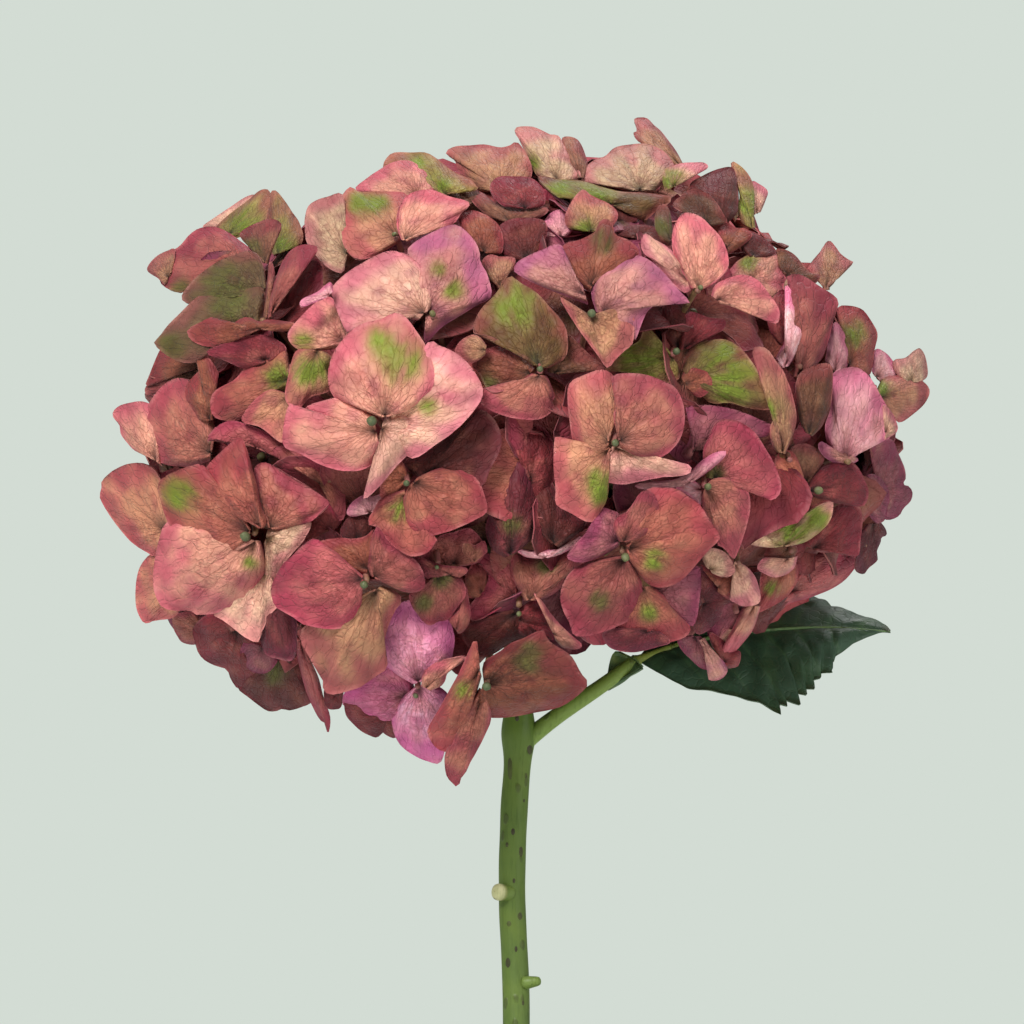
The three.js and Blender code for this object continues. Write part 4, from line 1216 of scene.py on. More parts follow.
def leaf_half(sheets, midrib, edge, slope, random):
    """One half of the blade, from its midrib to its toothed edge, puckered between its side veins."""
    t = np.linspace(0.0, 1.0, LEAF_ROWS)
    share = np.linspace(0, 1, LEAF_COLUMNS)[None, :]
    centre = along_path(midrib, t)
    pixels = along_path(np.array(edge, dtype=float), t)
    level = np.array([at_pixel(x, y, STEM_Y) for x, y in pixels])
    height = level[:, 2] - centre[:, 2]
    depth = centre[:, 1] + slope * height
    margin = np.array([at_pixel(x, y, d) for (x, y), d in zip(pixels, depth)])
    t = t[:, None]
    span = margin - centre
    width = np.linalg.norm(span, axis=1)[:, None]
    along = unit(np.gradient(centre, axis=0))
    up = np.cross(along, span + 1e-6)
    up = unit(np.where(up[:, 2:3] < 0, -up, up) + np.array([0, 0, 1e-6]))
    phase = (t - 0.10 * share) * SIDE_VEINS
    near_vein = np.abs((phase % 1.0) - 0.5) * 2
    vein = np.exp(-((1 - near_vein) / 0.13) ** 2) * smooth(0.0, 0.08, share) * (1 - 0.5 * share)
    full = smooth(0, 12, width)
    arch = 1.2 * np.sin(math.pi * share) * full
    pillows = 0.45 * (1 - near_vein ** 2) * smooth(0, 0.2, share) * full * (1 - share ** 4)
    waves = 0.30 * ripples(t * 90, share * width, random, 7, 4, 11) * smooth(0, 0.3, share) * full
    groove = 0.45 * np.exp(-(share / 0.05) ** 2)
    rise = arch + pillows + waves - groove
    grid = centre[:, None, :] + share[..., None] * span[:, None, :] + rise[..., None] * up[:, None, :]
    normal = unit(square_to(grid) + 1e-9)
    facing = np.sign((normal * up[:, None, :]).sum(axis=-1, keepdims=True))
    normal = normal * np.where(facing == 0, 1, facing)
    tints = mix(BLADE_GREEN, VEIN_GREEN, 0.60 * vein + 0.8 * np.exp(-(share / 0.035) ** 2) + 0 * t)
    patches = smooth(0.0, 1.4, ripples(t * 90, share * width, random, 6, 6, 20))
    tints = mix(tints, BLADE_PATCH, 0.45 * patches)
    tints = mix(tints, BLADE_RIM, 0.55 * smooth(0.93, 1.0, share) + 0 * t)
    tints = mix(tints, BLADE_TIP, 0.8 * smooth(0.95, 1.0, t) + 0 * share)
    two_sided(sheets, grid, normal, BLADE_HALF, tints, mix(tints, BLADE_BELOW, 0.6 * np.ones_like(rise)))


def leaf_flap(sheets, random):
    """The folded lobe beside the petiole's end, as a small sheet that faces the viewer."""
    face = unit(FLAP_FACE)
    edge = along_path(curve_through(LEAF_FLAP, FLAP_STEPS), np.linspace(0, 1, FLAP_COLUMNS))
    root = edge[[0, -1]].mean(axis=0)
    out = np.linspace(0.04, 1, FLAP_ROWS)[:, None]
    pixels = root + out[..., None] * (edge - root)
    flat = seen_on(pixels, at_pixel(*root, STEM_Y - FLAP_AHEAD), face)
    grid = flat - FLAP_BULGE * np.sin(math.pi * out)[..., None] * face
    normal = unit(square_to(grid))
    normal = normal * np.sign((normal * face).sum(axis=-1).mean())
    patch = smooth(-0.5, 1.0, ripples(pixels[..., 0], pixels[..., 1], random, 6, 8, 24))
    tints = mix(*FLAP_GREENS, patch)
    two_sided(sheets, grid, normal, FLAP_HALF, tints, tints)


def add_leaf(leaf_surface, stalk_surface):
    random = np.random.default_rng(LEAF_SEED)
    midrib = bent_path(MIDRIB, MIDRIB_STEPS)
    sheets = Sheets()
    leaf_half(sheets, midrib, NEAR_EDGE, NEAR_SLOPE, random)
    leaf_half(sheets, midrib, FAR_EDGE, FAR_SLOPE, random)
    leaf_flap(sheets, random)
    rib = midrib + np.array([0, -0.2, -0.1])
    share = np.linspace(0, 1, len(rib))
    rib_tints = mix(*RIB_TINTS, smooth(0.10, 0.45, share))
    tube(sheets, rib, 1.35 - 1.16 * share ** 0.40, rib_tints, MIDRIB_SIDES, slot=1)
    petiole = bent_path(PETIOLE, PETIOLE_STEPS)
    share = np.linspace(0, 1, len(petiole))
    tube(sheets, petiole, 2.15 - 0.7 * share, mix(*PETIOLE_TINTS, share), PETIOLE_SIDES, slot=1)
    sheets.build("leaf", [leaf_surface, stalk_surface], "leaf")


# ---------------------------------------------------------------- jar and water

JAR_RADIUS = 40.0
JAR_HEIGHT = 120.0
MOUTH_RADIUS = 22.0
RIM_RADIUS = 28.5
WALL = 3.0
SHOULDER = 86.0
NECK = 103.0
JAR_FLOOR = 5.0
WATER_LEVEL = 78.0
WATER_GAP = 0.3
FOOT = 4.0
WATER_EDGE = ((0, 0.4), (0.8, 0.9), (2.5, 1.1))  # from its wall inwards, and below its level
CENTRE = 0.05
MIDWAY = 20
JAR_SIDES = 96
FOOT_STEPS = 8
LIP_STEPS = 20
SHOULDER_STEPS = 20
CLEAR = (230, 236, 232)


def shoulder(outer, inner, downward=False):
    """The jar's shoulder as (radius, height) points, from its wall up to its neck, or down again."""
    points = []
    ends = (1, 0) if downward else (0, 1)
    for t in np.linspace(*ends, SHOULDER_STEPS + 1):
        blend = (1 - math.cos(math.pi * t)) / 2
        points.append((outer + (inner - outer) * blend, SHOULDER + (NECK - SHOULDER) * t))
    return points


def arc(centre, radius, start, end, steps):
    angles = np.radians(np.linspace(start, end, steps + 1))
    return [(centre[0] + radius * math.cos(a), centre[1] + radius * math.sin(a)) for a in angles]


def turned(outline, name, materials, node, slot):
    """A piece turned about the jar's axis from its (radius, height) outline."""
    turns = round_angles(JAR_SIDES)
    rings = [np.stack([r * np.cos(turns), r * np.sin(turns), np.full(JAR_SIDES, z)], axis=1)
             for r, z in outline]
    sheets = Sheets()
    faces = grid_faces(len(rings), JAR_SIDES, closed=True)
    sheets.add(np.concatenate(rings), faces, CLEAR)
    sheets.build(name, materials, node)


def add_jar(material):
    lip = (RIM_RADIUS - MOUTH_RADIUS) / 2
    inner = JAR_RADIUS - WALL
    outline = [(CENTRE, 0.0), (MIDWAY, 0.0)]
    outline += arc((JAR_RADIUS - FOOT, FOOT), FOOT, -90, 0, FOOT_STEPS)
    outline += shoulder(JAR_RADIUS, MOUTH_RADIUS + WALL)
    outline += arc((MOUTH_RADIUS + lip, JAR_HEIGHT - lip), lip, -90, 180, LIP_STEPS)
    outline += shoulder(inner, MOUTH_RADIUS, downward=True)
    outline += arc((inner - FOOT, JAR_FLOOR + FOOT), FOOT, 0, -90, FOOT_STEPS)
    outline += [(MIDWAY, JAR_FLOOR), (CENTRE, JAR_FLOOR)]
    turned(outline, "jar", [material], "jar", "jar_glass")


def add_water(material):
    radius = JAR_RADIUS - WALL - WATER_GAP
    foot = JAR_FLOOR + WATER_GAP
    outline = [(CENTRE, foot)]
    outline += arc((radius - FOOT, foot + FOOT), FOOT, -90, 0, FOOT_STEPS)
    outline += [(radius - inward, WATER_LEVEL - sunk) for inward, sunk in WATER_EDGE]
    surface = outline[-1][1]
    outline += [(MIDWAY, surface), (CENTRE, surface)]
    turned(outline, "water", [material], "water", "water")


# ---------------------------------------------------------------- the photographed florets

# The florets that the photograph shows, named by their place in it, as outlines drawn over it.
# Each row: name, eye (px), width of its bud (px), how far before the dome (mm), right and upward part
# of its face, sepals from back to front. Each sepal: tone, green patches (x, y and radius in px), and
# its outline (px) from one side of its base round to the other.
FLORETS = (
    ("left_centre", (375, 422), 11, 9, (-0.10, 0.05), (
        ("blush", ((427, 405, 8),), ((390, 410), (425, 346), (440, 346), (460, 356), (476, 374),
         (483, 392), (476, 408), (458, 428), (436, 444), (412, 458), (395, 440))),
        ("blush", (), ((385, 418), (405, 411), (420, 416), (425, 428), (418, 444), (400, 462),
         (380, 485), (364, 499), (370, 480), (378, 462), (378, 440))),
        ("pink", (), ((372, 412), (345, 398), (320, 402), (308, 406), (299, 416), (289, 405),
         (283, 443), (300, 453), (322, 465), (345, 471), (368, 467), (380, 450))),
        ("pink", ((402, 360, 17), (378, 340, 10)), ((380, 417), (345, 402), (333, 395), (328, 380),
         (330, 362), (340, 343), (360, 325), (380, 320), (395, 313), (405, 317), (415, 330), (425, 345),
         (432, 362), (434, 380), (428, 395), (412, 408), (390, 416))),
    )),
    ("upper_left_pink", (434, 318), 7, 6, (-0.05, 0.25), (
        ("lilac", ((437, 270, 6), (455, 290, 8)), ((428, 300), (424, 268), (408, 255), (412, 245),
         (432, 233), (455, 225), (472, 238), (479, 251), (480, 262), (487, 275), (491, 296), (478, 304),
         (460, 315), (440, 328), (426, 343), (425, 330))),
        ("blush", (), ((430, 308), (434, 292), (430, 278), (420, 265), (408, 255), (395, 251),
         (385, 252), (370, 259), (350, 271), (335, 284), (331, 292), (334, 300), (340, 318), (349, 333),
         (370, 326), (395, 316), (418, 320))),
        ("lightpink", (), ((333, 292), (330, 282), (318, 292), (302, 300), (301, 307), (312, 303),
         (325, 298))),
    )),
    ("centre_top", (590, 318), 9, 8, (0.05, 0.20), (
        ("rust", ((603, 240, 9),), ((590, 292), (575, 281), (563, 266), (560, 252), (566, 244),
         (580, 240), (595, 232), (600, 222), (606, 219), (612, 224), (615, 235), (628, 240), (637, 248),
         (638, 254), (620, 257), (603, 266), (594, 280))),
        ("lilac", (), ((588, 304), (572, 298), (552, 290), (535, 283), (520, 275), (514, 270),
         (518, 262), (530, 255), (545, 249), (556, 244), (562, 247), (561, 256), (570, 270),
         (582, 286))),
        ("lilac", (), ((597, 312), (592, 295), (594, 280), (603, 267), (617, 259), (635, 256),
         (645, 258), (655, 265), (668, 278), (680, 292), (690, 302), (680, 302), (665, 303), (650, 308),
         (642, 322), (634, 341), (630, 322), (610, 312))),
        ("tan", (), ((583, 316), (572, 306), (560, 297), (567, 311), (577, 327), (590, 345), (600, 358),
         (608, 368), (615, 360), (625, 350), (632, 344), (634, 326), (631, 310), (612, 309),
         (598, 316))),
    )),
    ("right_pink", (697, 292), 6, 9, (0.20, 0.30), (
        ("blush", (), ((690, 290), (683, 292), (668, 278), (655, 262), (643, 252), (641, 243),
         (645, 234), (655, 240), (665, 246), (675, 255), (684, 270))),
        ("pink", (), ((692, 288), (683, 272), (674, 252), (672, 235), (676, 222), (685, 213),
         (700, 217), (712, 228), (722, 240), (728, 256), (728, 268), (718, 280), (704, 288))),
        ("pink", (), ((712, 296), (717, 284), (740, 275), (757, 280), (768, 293), (778, 308),
         (779, 318), (775, 324), (760, 315), (740, 308), (722, 304))),
    )),
    ("green_right", (672, 355), 8, -3, (0.10, 0.10), (
        ("maroon", (), ((672, 350), (660, 330), (662, 315), (665, 303), (680, 300), (690, 310),
         (688, 330), (683, 345))),
        ("crimson", (), ((678, 350), (682, 325), (690, 312), (710, 318), (725, 320), (722, 330),
         (705, 338), (690, 348))),
        ("green", ((640, 360, 20),), ((668, 350), (655, 335), (645, 325), (640, 340), (625, 350),
         (612, 362), (605, 370), (625, 372), (645, 378), (660, 383), (678, 380), (678, 366))),
        ("olive", ((735, 385, 18), (715, 355, 15)), ((682, 368), (690, 350), (705, 342), (725, 340),
         (742, 350), (757, 370), (768, 390), (775, 405), (770, 410), (750, 408), (730, 403), (710, 402),
         (694, 386))),
        ("rust", (), ((682, 378), (690, 363), (703, 365), (712, 378), (712, 388), (700, 397),
         (688, 390))),
    )),
    ("centre", (540, 372), 7, 2, (-0.05, 0.10), (
        ("umber", (), ((548, 372), (550, 362), (566, 355), (568, 335), (578, 343), (590, 355),
         (604, 366), (603, 370), (580, 371), (560, 374))),
        ("rust", ((490, 387, 9),), ((534, 369), (520, 353), (505, 346), (490, 348), (478, 357),
         (472, 365), (478, 372), (485, 385), (492, 392), (507, 388), (526, 378))),
        ("olive", ((515, 305, 20),), ((530, 364), (510, 346), (490, 336), (474, 333), (475, 320),
         (482, 308), (492, 298), (503, 284), (510, 276), (520, 283), (535, 292), (548, 305), (564, 324),
         (568, 342), (565, 358), (548, 368))),
        ("rosesalmon", (), ((532, 374), (515, 385), (495, 393), (481, 388), (480, 402), (495, 412),
         (515, 418), (538, 419), (551, 412), (553, 405), (547, 403), (554, 398), (549, 382),
         (546, 376))),
        ("tan", (), ((486, 346), (480, 338), (472, 335), (462, 340), (455, 350), (458, 357), (468, 363),
         (478, 360), (485, 354))),
    )),
    ("centre_right", (614, 443), 8, 7, (0.0, 0.02), (
        ("blush", (), ((610, 447), (604, 462), (600, 472), (602, 480), (621, 484), (635, 482),
         (655, 478), (675, 476), (690, 473), (688, 465), (665, 462), (648, 459), (632, 453),
         (622, 446))),
        ("salmon", ((597, 480, 9), (601, 497, 7)), ((608, 446), (598, 452), (580, 454), (565, 443),
         (556, 436), (554, 455), (554, 470), (556, 490), (556, 504), (571, 513), (590, 522), (600, 511),
         (606, 500), (608, 485), (605, 470), (606, 458), (612, 450))),
        ("salmon", (), ((609, 438), (607, 430), (612, 415), (620, 400), (618, 385), (610, 373),
         (600, 370), (585, 375), (570, 383), (568, 400), (570, 420), (573, 440), (580, 453), (590, 458),
         (600, 455), (608, 446))),
        ("rosesalmon", (), ((619, 436), (614, 415), (621, 392), (612, 376), (640, 374), (660, 380),
         (675, 388), (683, 405), (684, 424), (678, 442), (665, 455), (648, 460), (634, 455),
         (620, 446))),
    )),
    ("low_centre_right", (622, 551), 9, 7, (0.05, -0.15), (
        ("mauve", (), ((648, 580), (660, 588), (672, 587), (685, 578), (698, 566), (701, 582),
         (699, 600), (697, 615), (693, 626), (685, 622), (672, 610), (655, 592))),
        ("plum", (), ((640, 628), (620, 628), (603, 632), (605, 642), (611, 648), (621, 651),
         (633, 652), (645, 650), (659, 646), (670, 642), (660, 632))),
        ("coral", ((648, 612, 8),), ((632, 588), (625, 610), (615, 627), (629, 633), (641, 638),
         (653, 641), (665, 642), (677, 640), (686, 636), (690, 628), (682, 618), (668, 600),
         (652, 586))),
        ("rose", ((600, 600, 8),), ((620, 556), (605, 558), (589, 562), (578, 567), (568, 576),
         (562, 588), (561, 600), (564, 612), (570, 624), (573, 634), (580, 636), (591, 635), (603, 632),
         (617, 626), (629, 620), (637, 610), (642, 598), (642, 586), (638, 575), (628, 560))),
        ("mauve", (), ((618, 546), (605, 554), (593, 559), (581, 562), (571, 560), (567, 556),
         (575, 544), (585, 534), (591, 524), (597, 514), (603, 508), (612, 511), (619, 514), (618, 524),
         (619, 536))),
        ("coral", ((655, 560, 9),), ((628, 543), (640, 530), (645, 505), (648, 489), (663, 488),
         (677, 489), (689, 497), (699, 504), (707, 516), (715, 528), (720, 536), (716, 543), (709, 549),
         (701, 558), (691, 570), (681, 580), (669, 586), (659, 587), (649, 584), (641, 576), (633, 566),
         (627, 553))),
        ("rose", (), ((620, 541), (614, 528), (616, 518), (626, 512), (634, 503), (641, 492),
         (650, 491), (657, 500), (659, 512), (656, 524), (649, 533), (637, 539), (627, 542))),
    )),
    ("right_mid", (704, 486), 8, 3, (0.20, 0.0), (
        ("lightpink", (), ((700, 484), (690, 480), (680, 484), (676, 488), (688, 495), (696, 502),
         (700, 506), (701, 495))),
        ("rosesalmon", (), ((704, 491), (702, 500), (705, 512), (713, 524), (719, 535), (718, 545),
         (724, 548), (730, 555), (734, 559), (739, 548), (744, 534), (748, 520), (750, 508), (749, 495),
         (745, 487), (735, 480), (722, 478), (712, 480), (707, 485))),
        ("lightpink", (), ((682, 486), (665, 488), (650, 489), (635, 487), (640, 484), (660, 482),
         (675, 480), (685, 476), (693, 470), (701, 462), (713, 454), (725, 451), (726, 454), (721, 460),
         (708, 471), (695, 480))),
    )),
    ("right_deep", (712, 452), 0, 0, (0.20, 0.10), (
        ("plum", (), ((700, 465), (688, 455), (690, 440), (694, 422), (700, 412), (720, 412),
         (722, 430), (712, 450), (706, 462))),
        ("mauve", (), ((690, 462), (681, 455), (690, 440), (692, 415), (686, 408), (705, 405),
         (735, 410), (760, 420), (775, 428), (765, 436), (745, 425), (722, 416), (704, 420),
         (698, 440))),
        ("deeppink", ((715, 474, 8),), ((706, 478), (703, 452), (710, 435), (716, 422), (728, 419),
         (742, 423), (755, 433), (766, 450), (773, 462), (779, 476), (781, 488), (778, 496), (772, 500),
         (762, 495), (750, 488), (738, 482), (722, 479))),
    )),
    ("teal_eye", (806, 489), 9, 1, (0.45, 0.0), (
        ("crimson", (), ((806, 545), (797, 540), (806, 530), (818, 523), (828, 515), (834, 508),
         (845, 503), (858, 506), (862, 520), (860, 540), (857, 556), (840, 552), (820, 552))),
        ("brown", (), ((803, 484), (797, 468), (790, 452), (795, 445), (806, 444), (818, 450),
         (824, 458), (818, 470), (810, 482))),
        ("coral", (), ((806, 492), (800, 500), (803, 512), (815, 512), (830, 502), (828, 496),
         (814, 492))),
        ("crimson", (), ((808, 488), (812, 478), (822, 468), (834, 462), (846, 460), (857, 467),
         (864, 480), (868, 492), (864, 505), (850, 505), (836, 502), (822, 500), (811, 495))),
        ("orange", (), ((802, 486), (790, 485), (782, 482), (776, 470), (775, 460), (780, 452),
         (788, 450), (794, 454), (799, 464), (803, 476))),
        ("maroon", (), ((801, 512), (790, 503), (784, 494), (781, 486), (790, 481), (789, 490),
         (796, 498), (801, 508))),
    )),
    ("green_curl", (790, 550), 0, 3, (0.20, -0.30), (
        ("coral", ((772, 588, 6),), ((782, 562), (765, 566), (760, 580), (760, 600), (758, 612),
         (768, 608), (782, 600), (790, 592), (796, 582), (798, 570), (794, 561))),
        ("brown", (), ((782, 549), (770, 546), (764, 558), (775, 563), (790, 560), (797, 552),
         (796, 546))),
        ("blush", (), ((778, 562), (764, 558), (757, 568), (766, 574), (775, 577), (786, 574),
         (794, 567), (797, 556))),
        ("cream", ((790, 532, 13), (815, 518, 11)), ((787, 546), (804, 542), (814, 536), (824, 528),
         (831, 518), (833, 508), (832, 501), (820, 505), (808, 512), (798, 519), (786, 526), (774, 532),
         (760, 534), (751, 529), (746, 527), (743, 538), (750, 544), (768, 547), (781, 546))),
    )),
    ("light_pink", (846, 462), 0, 5, (0.60, 0.0), (
        ("lightpink", (), ((838, 462), (832, 455), (827, 440), (825, 425), (830, 410), (832, 395),
         (832, 375), (845, 368), (858, 368), (870, 378), (880, 395), (888, 410), (893, 425), (890, 437),
         (870, 445), (850, 460))),
        ("lilac", (), ((842, 458), (828, 448), (822, 442), (818, 446), (824, 456), (836, 463),
         (848, 464), (858, 460), (852, 456))),
        ("blush", (), ((886, 425), (883, 405), (893, 415), (897, 430), (885, 440))),
    )),
    ("far_right", (872, 388), 0, -2, (0.80, 0.10), (
        ("lightpink", (), ((872, 372), (875, 350), (885, 353), (893, 362), (900, 372), (898, 378),
         (880, 382))),
        ("cream", (), ((900, 382), (893, 362), (905, 358), (915, 350), (920, 349), (925, 358), (927, 375),
         (920, 382))),
        ("salmon", ((880, 388, 8),), ((876, 392), (885, 378), (905, 376), (920, 380), (929, 390),
         (925, 402), (915, 412), (900, 422), (893, 415), (883, 402))),
    )),
    ("right_upper", (846, 372), 0, -2, (0.60, 0.30), (
        ("coral", ((853, 335, 11),), ((846, 360), (840, 325), (838, 308), (848, 306), (862, 310),
         (873, 325), (877, 335), (874, 350), (872, 365), (868, 375), (852, 370))),
        ("lightpink", (), ((832, 368), (826, 362), (828, 345), (832, 330), (835, 322), (842, 330),
         (848, 345), (847, 365), (838, 374))),
    )),
    ("right_large", (798, 368), 0, 0, (0.50, 0.30), (
        ("crimson", (), ((780, 345), (770, 330), (768, 310), (775, 295), (783, 290), (790, 300),
         (794, 320), (790, 345))),
        ("rose", (), ((793, 378), (797, 360), (808, 335), (808, 310), (800, 290), (787, 277),
         (800, 275), (820, 287), (835, 297), (838, 305), (833, 320), (828, 340), (820, 360),
         (802, 374))),
        ("lightpink", (), ((782, 368), (776, 360), (783, 345), (790, 325), (793, 305), (785, 290),
         (788, 285), (800, 295), (808, 315), (805, 335), (795, 355), (788, 366))),
    )),
    ("right_curl", (788, 460), 0, 4, (0.35, 0.10), (
        ("umber", (), ((806, 432), (800, 420), (797, 400), (797, 378), (805, 370), (820, 364),
         (831, 366), (832, 385), (830, 405), (822, 425), (812, 436))),
        ("tan", ((770, 410, 9),), ((781, 452), (775, 450), (770, 430), (775, 415), (770, 395),
         (762, 375), (752, 350), (765, 348), (775, 360), (785, 375), (792, 395), (796, 420), (790, 440),
         (785, 454))),
    )),
    ("light_ragged", (740, 285), 0, -4, (0.30, 0.45), (
        ("umber", (), ((785, 272), (776, 262), (776, 250), (785, 250), (795, 256), (805, 268),
         (812, 274), (820, 275), (815, 283), (800, 285), (788, 279))),
        ("pink", ((748, 262, 8),), ((745, 278), (727, 277), (735, 264), (745, 257), (755, 253),
         (770, 253), (780, 253), (782, 262), (780, 270), (786, 278), (783, 285), (784, 295), (775, 302),
         (765, 290), (755, 282))),
    )),
    ("three_points", (822, 297), 0, -8, (0.50, 0.50), (
        ("tan", (), ((824, 290), (820, 278), (808, 270), (813, 260), (820, 252), (828, 241), (835, 247),
         (840, 254), (848, 260), (853, 263), (845, 268), (835, 274), (829, 280), (829, 290))),
    )),
    ("top_right", (700, 240), 0, -2, (0.30, 0.45), (
        ("maroon", (), ((715, 215), (700, 200), (690, 185), (705, 175), (720, 169), (732, 168),
         (736, 180), (737, 210), (728, 222))),
        ("maroon", (), ((748, 255), (740, 245), (732, 232), (742, 230), (755, 233), (768, 242),
         (776, 252), (768, 256), (758, 258))),
        ("rust", (), ((727, 240), (718, 232), (726, 223), (735, 228), (745, 229), (752, 235),
         (745, 243), (735, 250), (728, 254))),
        ("umber", (), ((700, 224), (685, 213), (676, 208), (673, 203), (680, 197), (690, 189),
         (700, 190), (712, 198), (722, 212), (727, 222), (715, 225))),
        ("umber", ((663, 225, 9),), ((668, 245), (660, 238), (655, 225), (657, 208), (665, 205),
         (670, 215), (672, 235))),
    )),
    ("right_shoulder", (750, 240), 0, -5, (0.45, 0.45), (
        ("blush", (), ((753, 215), (751, 195), (752, 182), (758, 184), (767, 191), (765, 200),
         (760, 212))),
        ("cream", (), ((735, 222), (730, 210), (725, 195), (720, 182), (735, 184), (738, 195),
         (738, 215))),
        ("green", ((747, 205, 12),), ((750, 228), (742, 222), (738, 208), (740, 195), (736, 180),
         (731, 163), (735, 163), (742, 168), (748, 175), (752, 183), (754, 195), (753, 210),
         (755, 228))),
    )),
    ("top_salmon", (648, 208), 0, -4, (0.10, 0.50), (
        ("beige", (), ((625, 190), (600, 184), (582, 181), (583, 170), (597, 159), (605, 157),
         (615, 148), (630, 145), (645, 144), (655, 147), (665, 153), (672, 162), (674, 168), (668, 178),
         (655, 190))),
        ("blush", ((670, 180, 10),), ((666, 191), (663, 180), (665, 170), (680, 164), (695, 163),
         (703, 163), (708, 167), (700, 172), (690, 178), (680, 183))),
        ("olive", ((562, 190, 14), (600, 196, 12)), ((600, 202), (575, 196), (560, 198), (548, 190),
         (537, 178), (545, 177), (560, 180), (580, 181), (600, 187), (620, 192), (640, 193), (660, 195),
         (672, 198), (668, 204), (655, 212), (645, 220), (635, 217), (625, 208))),
    )),
    ("top_strip", (702, 190), 0, -9, (0.20, 0.55), (
        ("tan", (), ((676, 166), (664, 155), (652, 146), (640, 142), (633, 134), (637, 131),
         (634, 120), (640, 118), (647, 119), (654, 126), (660, 131), (668, 141), (676, 152),
         (683, 165))),
    )),
    ("top_cream", (572, 188), 0, -6, (-0.10, 0.50), (
        ("brown", (), ((577, 178), (568, 158), (562, 140), (568, 137), (577, 140), (583, 150),
         (587, 165), (584, 178))),
        ("beige", ((530, 165, 8),), ((550, 180), (537, 175), (530, 160), (521, 143), (515, 129),
         (530, 127), (540, 130), (550, 135), (558, 136), (564, 146), (572, 158), (578, 168), (580, 178),
         (565, 181))),
    )),
    ("top_left_inner", (525, 196), 0, -4, (-0.20, 0.50), (
        ("tan", (), ((492, 192), (478, 190), (465, 178), (457, 168), (455, 160), (446, 153),
         (455, 147), (470, 146), (485, 145), (500, 148), (510, 146), (518, 143), (530, 162), (530, 178),
         (512, 188))),
        ("brown", (), ((465, 206), (445, 195), (455, 190), (465, 187), (477, 190), (482, 200))),
        ("brown", (), ((505, 222), (490, 217), (478, 208), (470, 197), (480, 192), (495, 203),
         (520, 209), (545, 208), (548, 212), (535, 219), (518, 222))),
        ("crimson", (), ((520, 208), (505, 206), (495, 200), (490, 190), (492, 182), (500, 177),
         (515, 177), (530, 178), (540, 185), (545, 195), (543, 205), (530, 208))),
    )),
    ("top_left_outer", (446, 203), 0, -3, (-0.30, 0.50), (
        ("green", ((418, 163, 9), (440, 182, 9)), ((440, 196), (434, 190), (428, 175), (412, 163),
         (398, 162), (383, 167), (388, 157), (395, 153), (410, 153), (425, 153), (435, 158), (445, 166),
         (455, 173), (470, 180), (478, 190), (465, 190), (450, 193))),
        ("pink", (), ((410, 196), (390, 196), (375, 192), (355, 190), (368, 178), (380, 170),
         (390, 164), (400, 161), (412, 162), (425, 172), (432, 182), (434, 190), (425, 194))),
    )),
    ("left_top", (397, 241), 6, 0, (-0.20, 0.50), (
        ("beige", (), ((345, 262), (342, 273), (328, 268), (316, 256), (307, 243), (305, 232),
         (305, 218), (309, 206), (318, 200), (328, 197), (342, 194), (345, 215), (348, 245))),
        ("salmon", ((358, 205, 9), (378, 205, 9)), ((397, 243), (385, 250), (372, 257), (360, 260),
         (350, 255), (344, 245), (340, 230), (338, 215), (340, 202), (345, 192), (352, 187), (358, 192),
         (380, 192), (406, 194), (402, 208), (400, 230))),
        ("pink", (), ((402, 240), (397, 225), (398, 210), (405, 198), (415, 192), (430, 190),
         (440, 193), (450, 197), (465, 201), (470, 205), (462, 212), (455, 222), (445, 226), (430, 228),
         (418, 235), (408, 241))),
    )),
    ("brown_cup", (478, 264), 0, -5, (0.0, 0.40), (
        # Painted shade: this maroon tone stands for the shade inside a cupped sepal.
        ("maroon", (), ((520, 262), (500, 252), (495, 235), (505, 222), (525, 218), (545, 222),
         (545, 240), (535, 255))),
        ("rust", (), ((478, 250), (470, 238), (461, 225), (459, 215), (468, 211), (478, 212),
         (490, 218), (498, 225), (503, 238), (502, 252), (490, 254))),
        ("tan", (), ((498, 288), (487, 275), (482, 262), (490, 255), (500, 257), (515, 258), (512, 268),
         (505, 276), (503, 286))),
    )),
    ("small_top", (600, 240), 0, -6, (0.0, 0.50), (
        ("maroon", (), ((618, 222), (605, 215), (603, 205), (612, 203), (620, 205), (630, 212),
         (637, 220), (628, 225))),
        ("lightpink", (), ((555, 236), (540, 235), (543, 225), (550, 214), (560, 210), (566, 215),
         (568, 222), (572, 230), (566, 236))),
        ("maroon", (), ((630, 236), (615, 235), (625, 227), (640, 225), (655, 228), (665, 235),
         (672, 245), (660, 243), (645, 240))),
        ("tan", ((583, 228, 9),), ((584, 231), (570, 228), (565, 220), (568, 208), (575, 197),
         (583, 190), (590, 195), (600, 200), (610, 205), (618, 215), (612, 226), (598, 231))),
    )),
    ("upper_left_back", (236, 272), 0, -12, (-0.50, 0.50), (
        ("cream", (), ((228, 228), (212, 229), (203, 227), (215, 218), (230, 208), (245, 198),
         (255, 195), (250, 205), (240, 220))),
        ("green", ((245, 225, 14),), ((225, 230), (217, 227), (232, 213), (248, 201), (260, 191),
         (268, 190), (271, 196), (270, 207), (266, 220), (258, 226), (245, 235), (235, 238))),
        ("green", ((283, 245, 9),), ((274, 255), (270, 245), (267, 220), (270, 205), (271, 193),
         (276, 191), (284, 200), (292, 212), (299, 222), (303, 235), (300, 245), (290, 247),
         (282, 252))),
        ("tan", (), ((165, 285), (158, 278), (148, 271), (150, 264), (158, 256), (168, 251), (175, 250),
         (172, 270))),
        ("rose", ((180, 287, 8),), ((250, 262), (250, 250), (238, 240), (225, 231), (212, 227),
         (199, 229), (190, 235), (184, 242), (178, 248), (163, 256), (160, 262), (160, 280), (165, 287),
         (175, 292), (185, 292), (200, 285), (220, 275), (238, 268))),
    )),
    ("upper_left_front", (264, 322), 0, 3, (-0.55, 0.30), (
